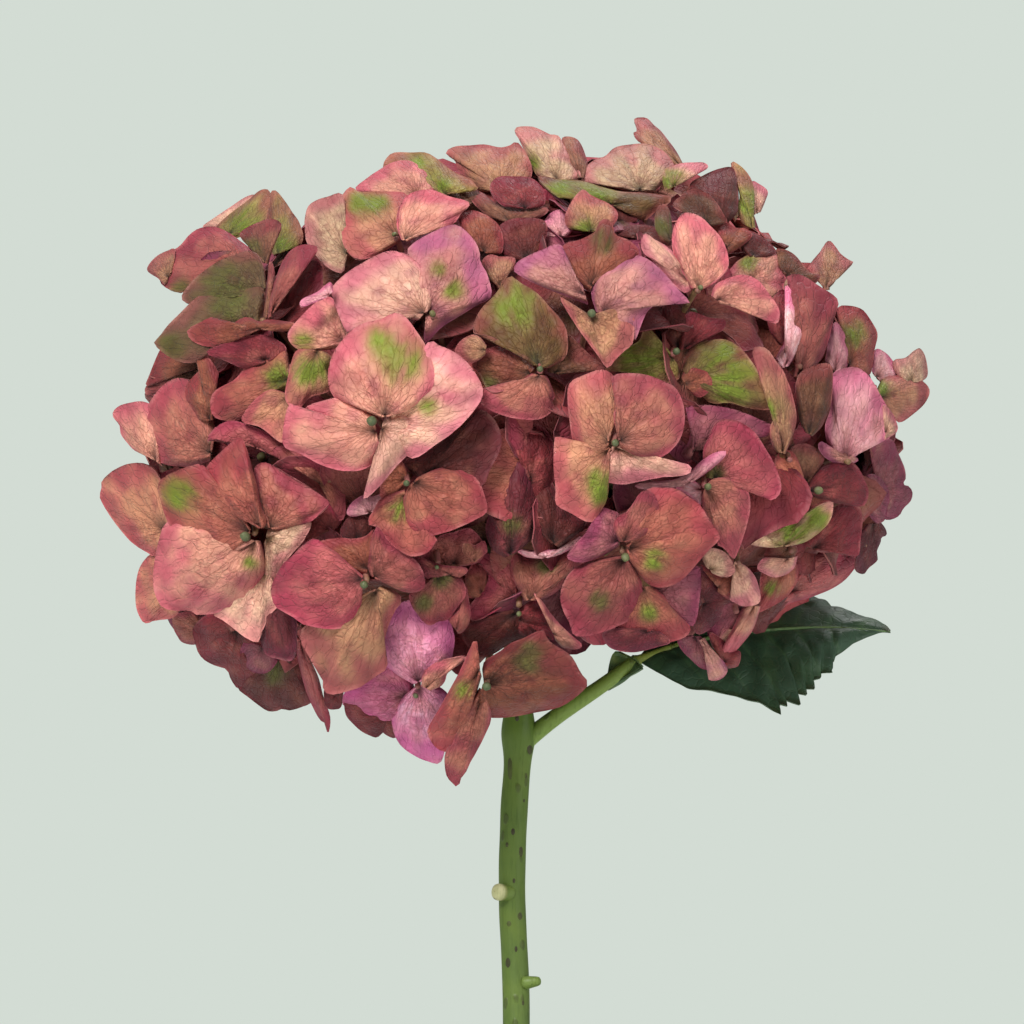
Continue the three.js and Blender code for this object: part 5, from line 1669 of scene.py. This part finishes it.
        # This sheet's crimson tone is partly painted shade over the dark patch there.
        ("crimson", (), ((268, 325), (272, 300), (285, 280), (300, 262), (315, 258), (322, 270),
         (322, 295), (310, 315), (290, 330))),
        ("brown", ((250, 250, 9),), ((262, 262), (255, 250), (243, 240), (240, 234), (247, 228),
         (258, 223), (270, 219), (280, 222), (281, 228), (276, 240), (271, 252), (268, 264))),
        ("moss", ((224, 285, 17),), ((262, 300), (240, 300), (215, 300), (190, 304), (182, 297),
         (192, 282), (205, 271), (220, 261), (238, 254), (252, 251), (262, 262), (266, 284))),
        ("moss", ((228, 302, 14), (172, 345, 11)), ((262, 318), (263, 284), (235, 288), (215, 292),
         (198, 297), (182, 312), (168, 326), (159, 338), (154, 341), (160, 350), (178, 361), (195, 362),
         (206, 352), (216, 338), (240, 332))),
        ("brown", (), ((266, 320), (264, 318), (266, 300), (268, 280), (270, 262), (274, 268),
         (273, 290), (269, 312))),
        ("rose", (), ((268, 320), (270, 300), (276, 280), (283, 262), (292, 250), (303, 245),
         (315, 246), (318, 249), (312, 258), (300, 272), (288, 290), (275, 310))),
        ("rust", (), ((264, 328), (280, 331), (292, 329), (296, 324), (268, 320), (259, 323), (253, 319),
         (244, 318), (235, 323), (226, 331), (216, 332), (213, 318), (200, 323), (188, 330), (190, 338),
         (198, 344), (215, 347), (228, 343), (244, 335), (256, 330))),
    )),
    ("left_red", (212, 442), 0, 0, (-0.60, 0.0), (
        ("pink", (), ((150, 455), (135, 450), (122, 435), (120, 425), (113, 415), (118, 407),
         (130, 403), (145, 402), (155, 410), (160, 440), (162, 466))),
        ("rosesalmon", (), ((212, 446), (215, 432), (208, 405), (200, 386), (180, 378), (163, 386),
         (150, 403), (144, 422), (146, 443), (156, 456), (165, 464), (190, 466), (210, 460))),
        ("rust", (), ((208, 420), (198, 420), (187, 400), (187, 385), (200, 370), (203, 362),
         (198, 352), (192, 346), (203, 352), (212, 362), (218, 375), (213, 395), (213, 420))),
    )),
    ("left_dark", (208, 370), 0, -10, (-0.60, 0.20), (
        ("brown", (), ((200, 366), (190, 372), (165, 378), (147, 386), (148, 395), (165, 391),
         (185, 382), (203, 374))),
        ("rust", (), ((205, 364), (192, 359), (175, 352), (165, 348), (160, 351), (150, 375),
         (147, 386), (165, 378), (185, 370), (200, 367))),
    )),
    ("left_mid", (292, 372), 0, 2, (-0.30, 0.10), (
        ("crimson", (), ((262, 362), (245, 368), (225, 360), (207, 352), (235, 340), (262, 335),
         (283, 344), (285, 352), (272, 360))),
        ("coral", ((277, 378, 11),), ((290, 370), (283, 346), (262, 354), (247, 366), (235, 380),
         (217, 390), (211, 400), (213, 415), (225, 420), (242, 418), (262, 402), (285, 390))),
        ("salmon", (), ((287, 394), (270, 390), (255, 400), (245, 412), (243, 422), (262, 428),
         (283, 443), (287, 420), (290, 402))),
    )),
    ("green_spots", (346, 346), 0, 4, (-0.20, 0.20), (
        ("pink", ((303, 342, 8),), ((340, 348), (320, 350), (300, 350), (288, 336), (300, 318),
         (320, 300), (332, 298), (340, 318), (347, 334))),
        ("salmon", ((312, 372, 14),), ((325, 352), (335, 362), (330, 375), (330, 390), (310, 397),
         (297, 410), (286, 400), (288, 380), (296, 352), (310, 350))),
    )),
    ("pink_edge", (330, 480), 0, -3, (-0.20, 0.0), (
        ("crimson", (), ((320, 480), (300, 468), (290, 455), (305, 455), (325, 462), (350, 468),
         (372, 470), (370, 490), (352, 500), (340, 494))),
        ("deeppink", (), ((325, 531), (312, 537), (300, 546), (300, 530), (312, 510), (328, 503),
         (338, 510), (342, 520), (336, 528))),
        ("deeppink", (), ((250, 445), (232, 438), (215, 438), (207, 440), (215, 428), (230, 421),
         (245, 424), (265, 432), (285, 443), (300, 452), (320, 465), (300, 466), (280, 458),
         (262, 450))),
        ("rosesalmon", (), ((314, 474), (300, 468), (285, 462), (272, 452), (280, 446), (295, 450),
         (308, 460), (325, 476), (342, 490), (345, 500), (345, 515), (340, 521), (334, 508),
         (325, 492))),
        ("maroon", (), ((352, 540), (342, 536), (341, 528), (350, 517), (367, 517), (371, 530),
         (364, 538))),
        ("lightpink", (), ((364, 514), (352, 516), (347, 512), (352, 503), (362, 496), (372, 497),
         (381, 495), (381, 503), (376, 511))),
    )),
    ("left_front", (256, 533), 11, 10, (-0.30, -0.05), (
        # Painted shade: this plum sheet is the shaded right part of the pale sepal below it.
        ("plum", (), ((268, 600), (262, 625), (261, 640), (263, 648), (267, 655), (276, 658),
         (293, 660), (297, 640), (296, 615), (288, 600), (276, 590))),
        ("cream", (), ((262, 560), (250, 590), (230, 605), (213, 613), (223, 620), (235, 629),
         (247, 638), (258, 642), (262, 632), (270, 615), (280, 604), (278, 594), (270, 575))),
        ("cream", (), ((268, 530), (290, 526), (311, 521), (305, 538), (295, 550), (283, 564),
         (275, 578), (271, 588), (265, 580), (267, 566), (264, 546))),
        ("rosesalmon", (), ((266, 526), (259, 495), (254, 472), (260, 463), (270, 464), (287, 474),
         (307, 486), (323, 497), (330, 503), (321, 513), (311, 521), (292, 527), (275, 530))),
        ("pink", ((251, 563, 5),), ((250, 540), (235, 552), (215, 560), (190, 548), (172, 530),
         (166, 522), (161, 534), (157, 550), (154, 570), (154, 588), (157, 598), (162, 606), (172, 610),
         (190, 610), (193, 614), (207, 614), (219, 612), (233, 606), (241, 603), (249, 598), (259, 589),
         (265, 578), (266, 566), (264, 552), (260, 541))),
        ("coral", ((180, 495, 14),), ((250, 528), (235, 505), (215, 480), (202, 465), (190, 466),
         (178, 470), (162, 479), (158, 488), (161, 500), (165, 514), (171, 527), (179, 538), (188, 549),
         (198, 557), (210, 563), (223, 562), (231, 555), (239, 549), (244, 542), (250, 534))),
        ("coral", (), ((258, 528), (247, 520), (235, 514), (223, 510), (213, 500), (208, 490),
         (205, 476), (207, 467), (215, 458), (228, 446), (240, 437), (247, 452), (252, 470), (257, 488),
         (260, 504), (266, 520), (263, 528))),
    )),
    ("far_left", (175, 520), 0, 0, (-0.60, -0.10), (
        ("salmon", (), ((175, 560), (158, 554), (150, 555), (141, 566), (137, 580), (136, 596),
         (137, 608), (141, 618), (146, 623), (156, 620), (171, 618), (178, 612), (185, 590))),
        ("salmon", (), ((170, 520), (168, 490), (160, 478), (155, 469), (142, 463), (128, 464),
         (116, 469), (108, 475), (102, 482), (102, 489), (100, 496), (104, 505), (112, 518), (122, 531),
         (133, 543), (149, 553), (156, 556), (162, 540))),
        ("umber", (), ((165, 470), (160, 470), (157, 440), (159, 431), (163, 440), (168, 450),
         (173, 468))),
    )),
    ("front_low_left", (367, 580), 9, 9, (-0.10, -0.20), (
        ("tan", (), ((372, 592), (350, 600), (325, 615), (303, 628), (301, 640), (310, 658), (318, 672),
         (324, 682), (323, 690), (330, 694), (340, 693), (350, 690), (360, 687), (370, 680), (380, 673),
         (387, 667), (385, 652), (384, 640), (388, 625), (396, 608), (402, 600), (395, 592),
         (382, 586))),
        ("rust", (), ((366, 576), (350, 572), (330, 565), (318, 555), (314, 545), (325, 540),
         (340, 538), (352, 539), (364, 537), (370, 533), (374, 529), (372, 545), (369, 562))),
        ("rose", (), ((371, 575), (366, 560), (370, 545), (375, 530), (378, 526), (383, 534),
         (392, 542), (404, 552), (416, 561), (422, 570), (425, 580), (424, 587), (418, 591), (410, 592),
         (400, 590), (388, 584), (377, 579))),
        ("deeppink", (), ((362, 575), (350, 565), (335, 552), (320, 542), (315, 538), (303, 545),
         (291, 557), (283, 564), (273, 582), (271, 592), (275, 605), (283, 611), (293, 617), (303, 624),
         (315, 627), (330, 629), (340, 628), (350, 624), (357, 616), (361, 606), (361, 592),
         (363, 582))),
    )),
    ("small_mid", (438, 562), 5, -2, (0.0, -0.20), (
        # This sheet's darker rose tone is partly painted shade under mid_rust.
        ("rose", (), ((445, 562), (428, 560), (420, 556), (430, 545), (440, 536), (455, 532),
         (470, 528), (482, 540), (485, 552), (478, 562), (462, 566))),
        ("rosesalmon", (), ((473, 562), (463, 552), (465, 541), (475, 545), (484, 541), (487, 551),
         (481, 555), (476, 562))),
        ("rose", (), ((455, 627), (449, 619), (456, 610), (463, 600), (466, 585), (468, 598),
         (470, 612), (468, 624), (462, 632), (458, 633))),
        ("rose", ((442, 576, 9), (423, 603, 7)), ((432, 577), (424, 588), (410, 593), (412, 606),
         (418, 614), (424, 622), (431, 625), (438, 621), (448, 619), (455, 610), (461, 602), (466, 594),
         (464, 583), (458, 577), (445, 574))),
        ("rose", (), ((440, 572), (428, 578), (422, 570), (414, 556), (425, 560), (440, 565),
         (456, 567), (466, 568), (467, 572), (460, 577))),
    )),
    ("lilac", (418, 685), 6, 8, (-0.10, -0.50), (
        ("crimson", (), ((380, 712), (350, 706), (345, 700), (346, 714), (354, 724), (362, 731),
         (370, 735), (377, 737), (383, 732), (387, 735), (396, 737), (397, 722))),
        ("heather", (), ((414, 688), (408, 670), (394, 656), (378, 660), (358, 680), (345, 692),
         (343, 704), (349, 708), (357, 719), (367, 727), (378, 730), (393, 729), (394, 716),
         (400, 704))),
        ("orchid", (), ((414, 688), (402, 698), (394, 710), (392, 722), (396, 738), (404, 748),
         (416, 756), (428, 761), (439, 763), (444, 753), (446, 735), (450, 712), (449, 697), (443, 690),
         (436, 686), (424, 684))),
        ("orchid", (), ((413, 684), (402, 678), (392, 671), (384, 661), (379, 644), (381, 627),
         (390, 613), (401, 603), (412, 600), (425, 610), (438, 614), (448, 619), (454, 635), (453, 650),
         (450, 660), (436, 668), (424, 680))),
        ("pink", (), ((422, 686), (423, 674), (430, 666), (440, 661), (452, 658), (466, 656),
         (460, 663), (448, 672), (445, 680), (440, 686), (430, 690))),
    )),
    ("bottom", (487, 680), 10, 14, (0.0, -0.35), (
        ("rosesalmon", (), ((480, 688), (470, 704), (460, 725), (450, 742), (445, 756), (446, 772),
         (449, 779), (453, 783), (456, 786), (459, 784), (460, 778), (465, 773), (470, 762), (477, 750),
         (484, 736), (490, 722), (490, 708), (486, 696))),
        ("rust", ((528, 658, 12),), ((485, 690), (477, 700), (478, 712), (490, 717), (505, 717),
         (520, 715), (535, 712), (551, 709), (563, 705), (575, 697), (584, 689), (588, 682), (580, 672),
         (574, 660), (568, 653), (556, 646), (547, 639), (544, 630), (536, 632), (525, 638), (512, 643),
         (500, 652), (490, 658), (483, 665), (484, 676))),
        ("coral", ((463, 690, 7),), ((478, 664), (476, 640), (470, 650), (460, 672), (448, 694),
         (438, 712), (428, 730), (431, 740), (436, 747), (444, 751), (452, 751), (460, 744), (466, 728),
         (470, 712), (475, 696), (481, 676))),
    )),
    ("dark_low_left", (268, 628), 0, -10, (-0.30, -0.45), (
        ("mauve", (), ((216, 632), (206, 600), (186, 596), (172, 604), (168, 618), (180, 634),
         (202, 642))),
        ("crimson", (), ((266, 640), (252, 620), (230, 608), (206, 608), (200, 628), (216, 646),
         (242, 656))),
        ("rosesalmon", (), ((200, 622), (192, 612), (180, 613), (173, 617), (174, 628), (178, 636),
         (183, 642), (195, 644), (205, 638))),
        ("maroon", ((275, 672, 10),), ((275, 655), (262, 665), (250, 678), (238, 687), (249, 697),
         (265, 709), (272, 711), (279, 710), (283, 708), (288, 710), (295, 709), (303, 706), (311, 702),
         (307, 690), (303, 675), (299, 655), (288, 650))),
        ("crimson", (), ((228, 632), (215, 616), (205, 616), (193, 629), (196, 644), (198, 651),
         (204, 659), (215, 665), (227, 669), (231, 678), (238, 688), (250, 690), (265, 680), (277, 668),
         (285, 660), (280, 645), (262, 635), (245, 628))),
        ("mauve", (), ((258, 645), (245, 642), (240, 655), (248, 668), (258, 673), (268, 672),
         (275, 665), (277, 658), (268, 650))),
        ("crimson", (), ((335, 690), (325, 688), (325, 702), (328, 708), (336, 709), (341, 706),
         (343, 692))),
        ("deeppink", (), ((298, 640), (296, 632), (297, 652), (301, 670), (307, 692), (315, 710),
         (321, 720), (327, 724), (328, 734), (330, 724), (329, 714), (325, 704), (322, 694), (318, 678),
         (310, 660), (303, 644))),
    )),
    ("mid_rust", (408, 482), 7, 2, (0.0, -0.05), (
        # This maroon tone is largely painted shade on a sepal that lies in shade.
        ("maroon", (), ((415, 476), (404, 462), (415, 456), (430, 450), (445, 440), (460, 430),
         (470, 420), (480, 410), (493, 418), (501, 435), (500, 450), (490, 470), (482, 486), (465, 476),
         (440, 474))),
        ("orange", (), ((404, 484), (392, 495), (382, 498), (380, 488), (385, 472), (392, 460),
         (402, 462), (407, 474))),
        ("coral", ((398, 510, 9),), ((405, 490), (390, 495), (380, 500), (374, 510), (368, 520),
         (370, 526), (377, 526), (386, 538), (396, 548), (408, 555), (418, 556), (428, 552), (434, 545),
         (437, 538), (425, 535), (412, 530), (406, 518), (406, 500))),
        ("coral", (), ((410, 486), (403, 500), (404, 516), (409, 528), (418, 535), (428, 536),
         (440, 534), (460, 527), (474, 520), (487, 511), (483, 492), (479, 482), (468, 472), (452, 468),
         (435, 470), (418, 478))),
    )),
    ("plum", (500, 548), 0, -5, (0.0, 0.0), (
        ("crimson", (), ((528, 470), (520, 450), (508, 432), (520, 420), (540, 425), (552, 440),
         (554, 462), (552, 485), (540, 500), (532, 495))),
        ("maroon", (), ((548, 540), (530, 520), (520, 495), (530, 475), (550, 480), (560, 500),
         (575, 515), (588, 522), (575, 535), (560, 548))),
        ("plum", ((512, 524, 8),), ((505, 557), (492, 548), (486, 530), (489, 515), (485, 500),
         (482, 490), (492, 476), (500, 461), (510, 447), (518, 436), (530, 448), (538, 470), (543, 495),
         (540, 520), (530, 540), (516, 552))),
    )),
    ("dark_centre", (519, 604), 6, -6, (0.0, -0.20), (
        ("crimson", (), ((506, 612), (470, 598), (448, 616), (444, 645), (452, 670), (466, 674),
         (486, 656), (502, 640))),
        ("coral", (), ((478, 598), (468, 596), (466, 576), (475, 562), (483, 565), (488, 575),
         (486, 588))),
        ("deeppink", (), ((514, 602), (500, 608), (488, 615), (478, 620), (470, 620), (469, 608),
         (474, 600), (484, 590), (489, 576), (485, 566), (475, 561), (480, 553), (490, 554), (500, 558),
         (508, 556), (514, 575), (518, 594))),
        ("maroon", (), ((512, 608), (500, 611), (488, 616), (472, 622), (462, 634), (468, 646),
         (480, 656), (492, 654), (505, 646), (515, 640), (525, 636), (520, 618))),
        ("crimson", (), ((520, 608), (535, 600), (541, 610), (548, 625), (553, 640), (540, 632),
         (528, 637), (518, 632))),
        ("rosesalmon", ((545, 565, 8),), ((524, 600), (514, 580), (511, 560), (514, 547), (522, 554),
         (535, 558), (551, 555), (565, 552), (578, 545), (586, 552), (582, 565), (566, 575), (560, 588),
         (548, 596), (535, 600))),
        ("lightpink", (), ((540, 558), (525, 556), (514, 547), (525, 550), (540, 551), (555, 550),
         (563, 549), (572, 542), (582, 536), (574, 546), (562, 553), (550, 557))),
        ("pink", (), ((552, 628), (545, 616), (540, 605), (534, 592), (542, 602), (549, 612),
         (557, 622), (566, 631), (575, 639), (582, 645), (576, 649), (563, 647), (556, 640))),
    )),
    ("low_right_curl", (737, 563), 0, 4, (0.30, -0.20), (
        ("plum", (), ((705, 600), (699, 585), (699, 566), (708, 572), (722, 585), (734, 598),
         (724, 606), (720, 618), (708, 630), (697, 634), (694, 622), (700, 608))),
        ("coral", (), ((718, 582), (706, 572), (700, 565), (707, 568), (718, 575), (732, 575),
         (736, 588), (730, 599), (718, 592))),
        ("blush", (), ((735, 561), (746, 567), (754, 576), (758, 586), (760, 597), (757, 604),
         (744, 606), (736, 603), (730, 599), (734, 590), (736, 577), (733, 566))),
        ("cream", (), ((706, 566), (703, 558), (706, 550), (714, 548), (724, 552), (731, 560),
         (735, 570), (731, 576), (723, 577), (713, 573))),
    )),
    ("low_right", (735, 610), 0, 0, (0.30, -0.40), (
        ("mauve", (), ((738, 606), (728, 601), (718, 606), (712, 618), (707, 630), (712, 642),
         (719, 648), (730, 640), (740, 625), (746, 608))),
        ("crimson", (), ((720, 655), (712, 645), (710, 632), (722, 640), (732, 650), (740, 652),
         (738, 665), (728, 668))),
        ("pink", (), ((748, 605), (741, 612), (735, 625), (726, 642), (720, 654), (733, 652),
         (743, 642), (752, 630), (757, 617), (760, 606))),
    )),
    ("deep_pink", (862, 545), 0, -4, (0.50, -0.40), (
        ("deeppink", (), ((797, 583), (797, 572), (806, 560), (814, 552), (826, 548), (840, 551),
         (854, 554), (857, 562), (852, 571), (844, 580), (832, 588), (818, 594), (804, 599), (792, 602),
         (778, 609), (768, 617), (755, 622), (757, 614), (770, 607), (784, 599))),
    )),
    ("far_right_dark", (868, 500), 0, -4, (0.80, -0.10), (
        ("plum", (), ((866, 525), (860, 535), (858, 550), (855, 562), (856, 571), (863, 574),
         (868, 568), (877, 560), (876, 552), (880, 542), (881, 537), (886, 535), (885, 529),
         (880, 522))),
        ("mauve", (), ((876, 480), (872, 462), (870, 450), (880, 440), (892, 440), (897, 452),
         (904, 468), (905, 479), (902, 484), (909, 487), (912, 493), (910, 501), (903, 508), (899, 515),
         (892, 519), (884, 518), (880, 500))),
        ("mauve", ((863, 495, 8),), ((868, 488), (867, 476), (874, 474), (882, 480), (888, 490),
         (889, 500), (887, 510), (884, 520), (876, 523), (868, 514), (863, 504), (862, 496))),
    )),
    ("low_pinks", (700, 630), 0, 0, (0.10, -0.60), (
        ("blush", (), ((736, 636), (725, 628), (718, 640), (719, 646), (726, 649), (735, 648),
         (743, 640), (746, 630))),
        ("mauve", (), ((690, 636), (678, 640), (682, 650), (690, 658), (700, 667), (709, 669),
         (711, 660), (707, 648), (700, 636))),
        ("lilac", (), ((704, 638), (709, 646), (717, 655), (725, 664), (727, 671), (723, 677),
         (716, 680), (709, 679), (713, 672), (712, 664), (705, 652), (699, 640))),
    )),
)


# ---------------------------------------------------------------- the whole scene

FRONT_SEED = 100
BACK_SEED = 300
UNDER_SEED = 500
BACK_GRID = (12, 21)
UNDER_GRID = (11, 19)


add_camera()
add_world()
add_floor()
centre = (HEAD_CENTRE * MM).tolist()
for name, (place, size, watts) in LAMPS.items():
    add_lamp(name, place, centre, size, watts)

floret_surfaces = [sepal_material(), bud_material()]
stem_surface = stem_material()

front = [front_floret(row) for row in FLORETS]
back = back_florets()
under = under_florets("middle") + under_florets("inner")
for number, (row, floret) in enumerate(zip(FLORETS, front)):
    add_front_floret(row, floret, floret_surfaces, FRONT_SEED + number)
for number, floret in enumerate(back):
    add_floret(f"back_floret_{number + 1}", floret, floret_surfaces, BACK_SEED + number, *BACK_GRID)
for number, floret in enumerate(under):
    add_floret(f"under_floret_{number + 1}", floret, floret_surfaces, UNDER_SEED + number, *UNDER_GRID)
add_branches(front + back + under, [stem_surface])
add_stem([stem_surface])
add_leaf(leaf_material(), stem_surface)
add_jar(glass_material())
add_water(water_material())
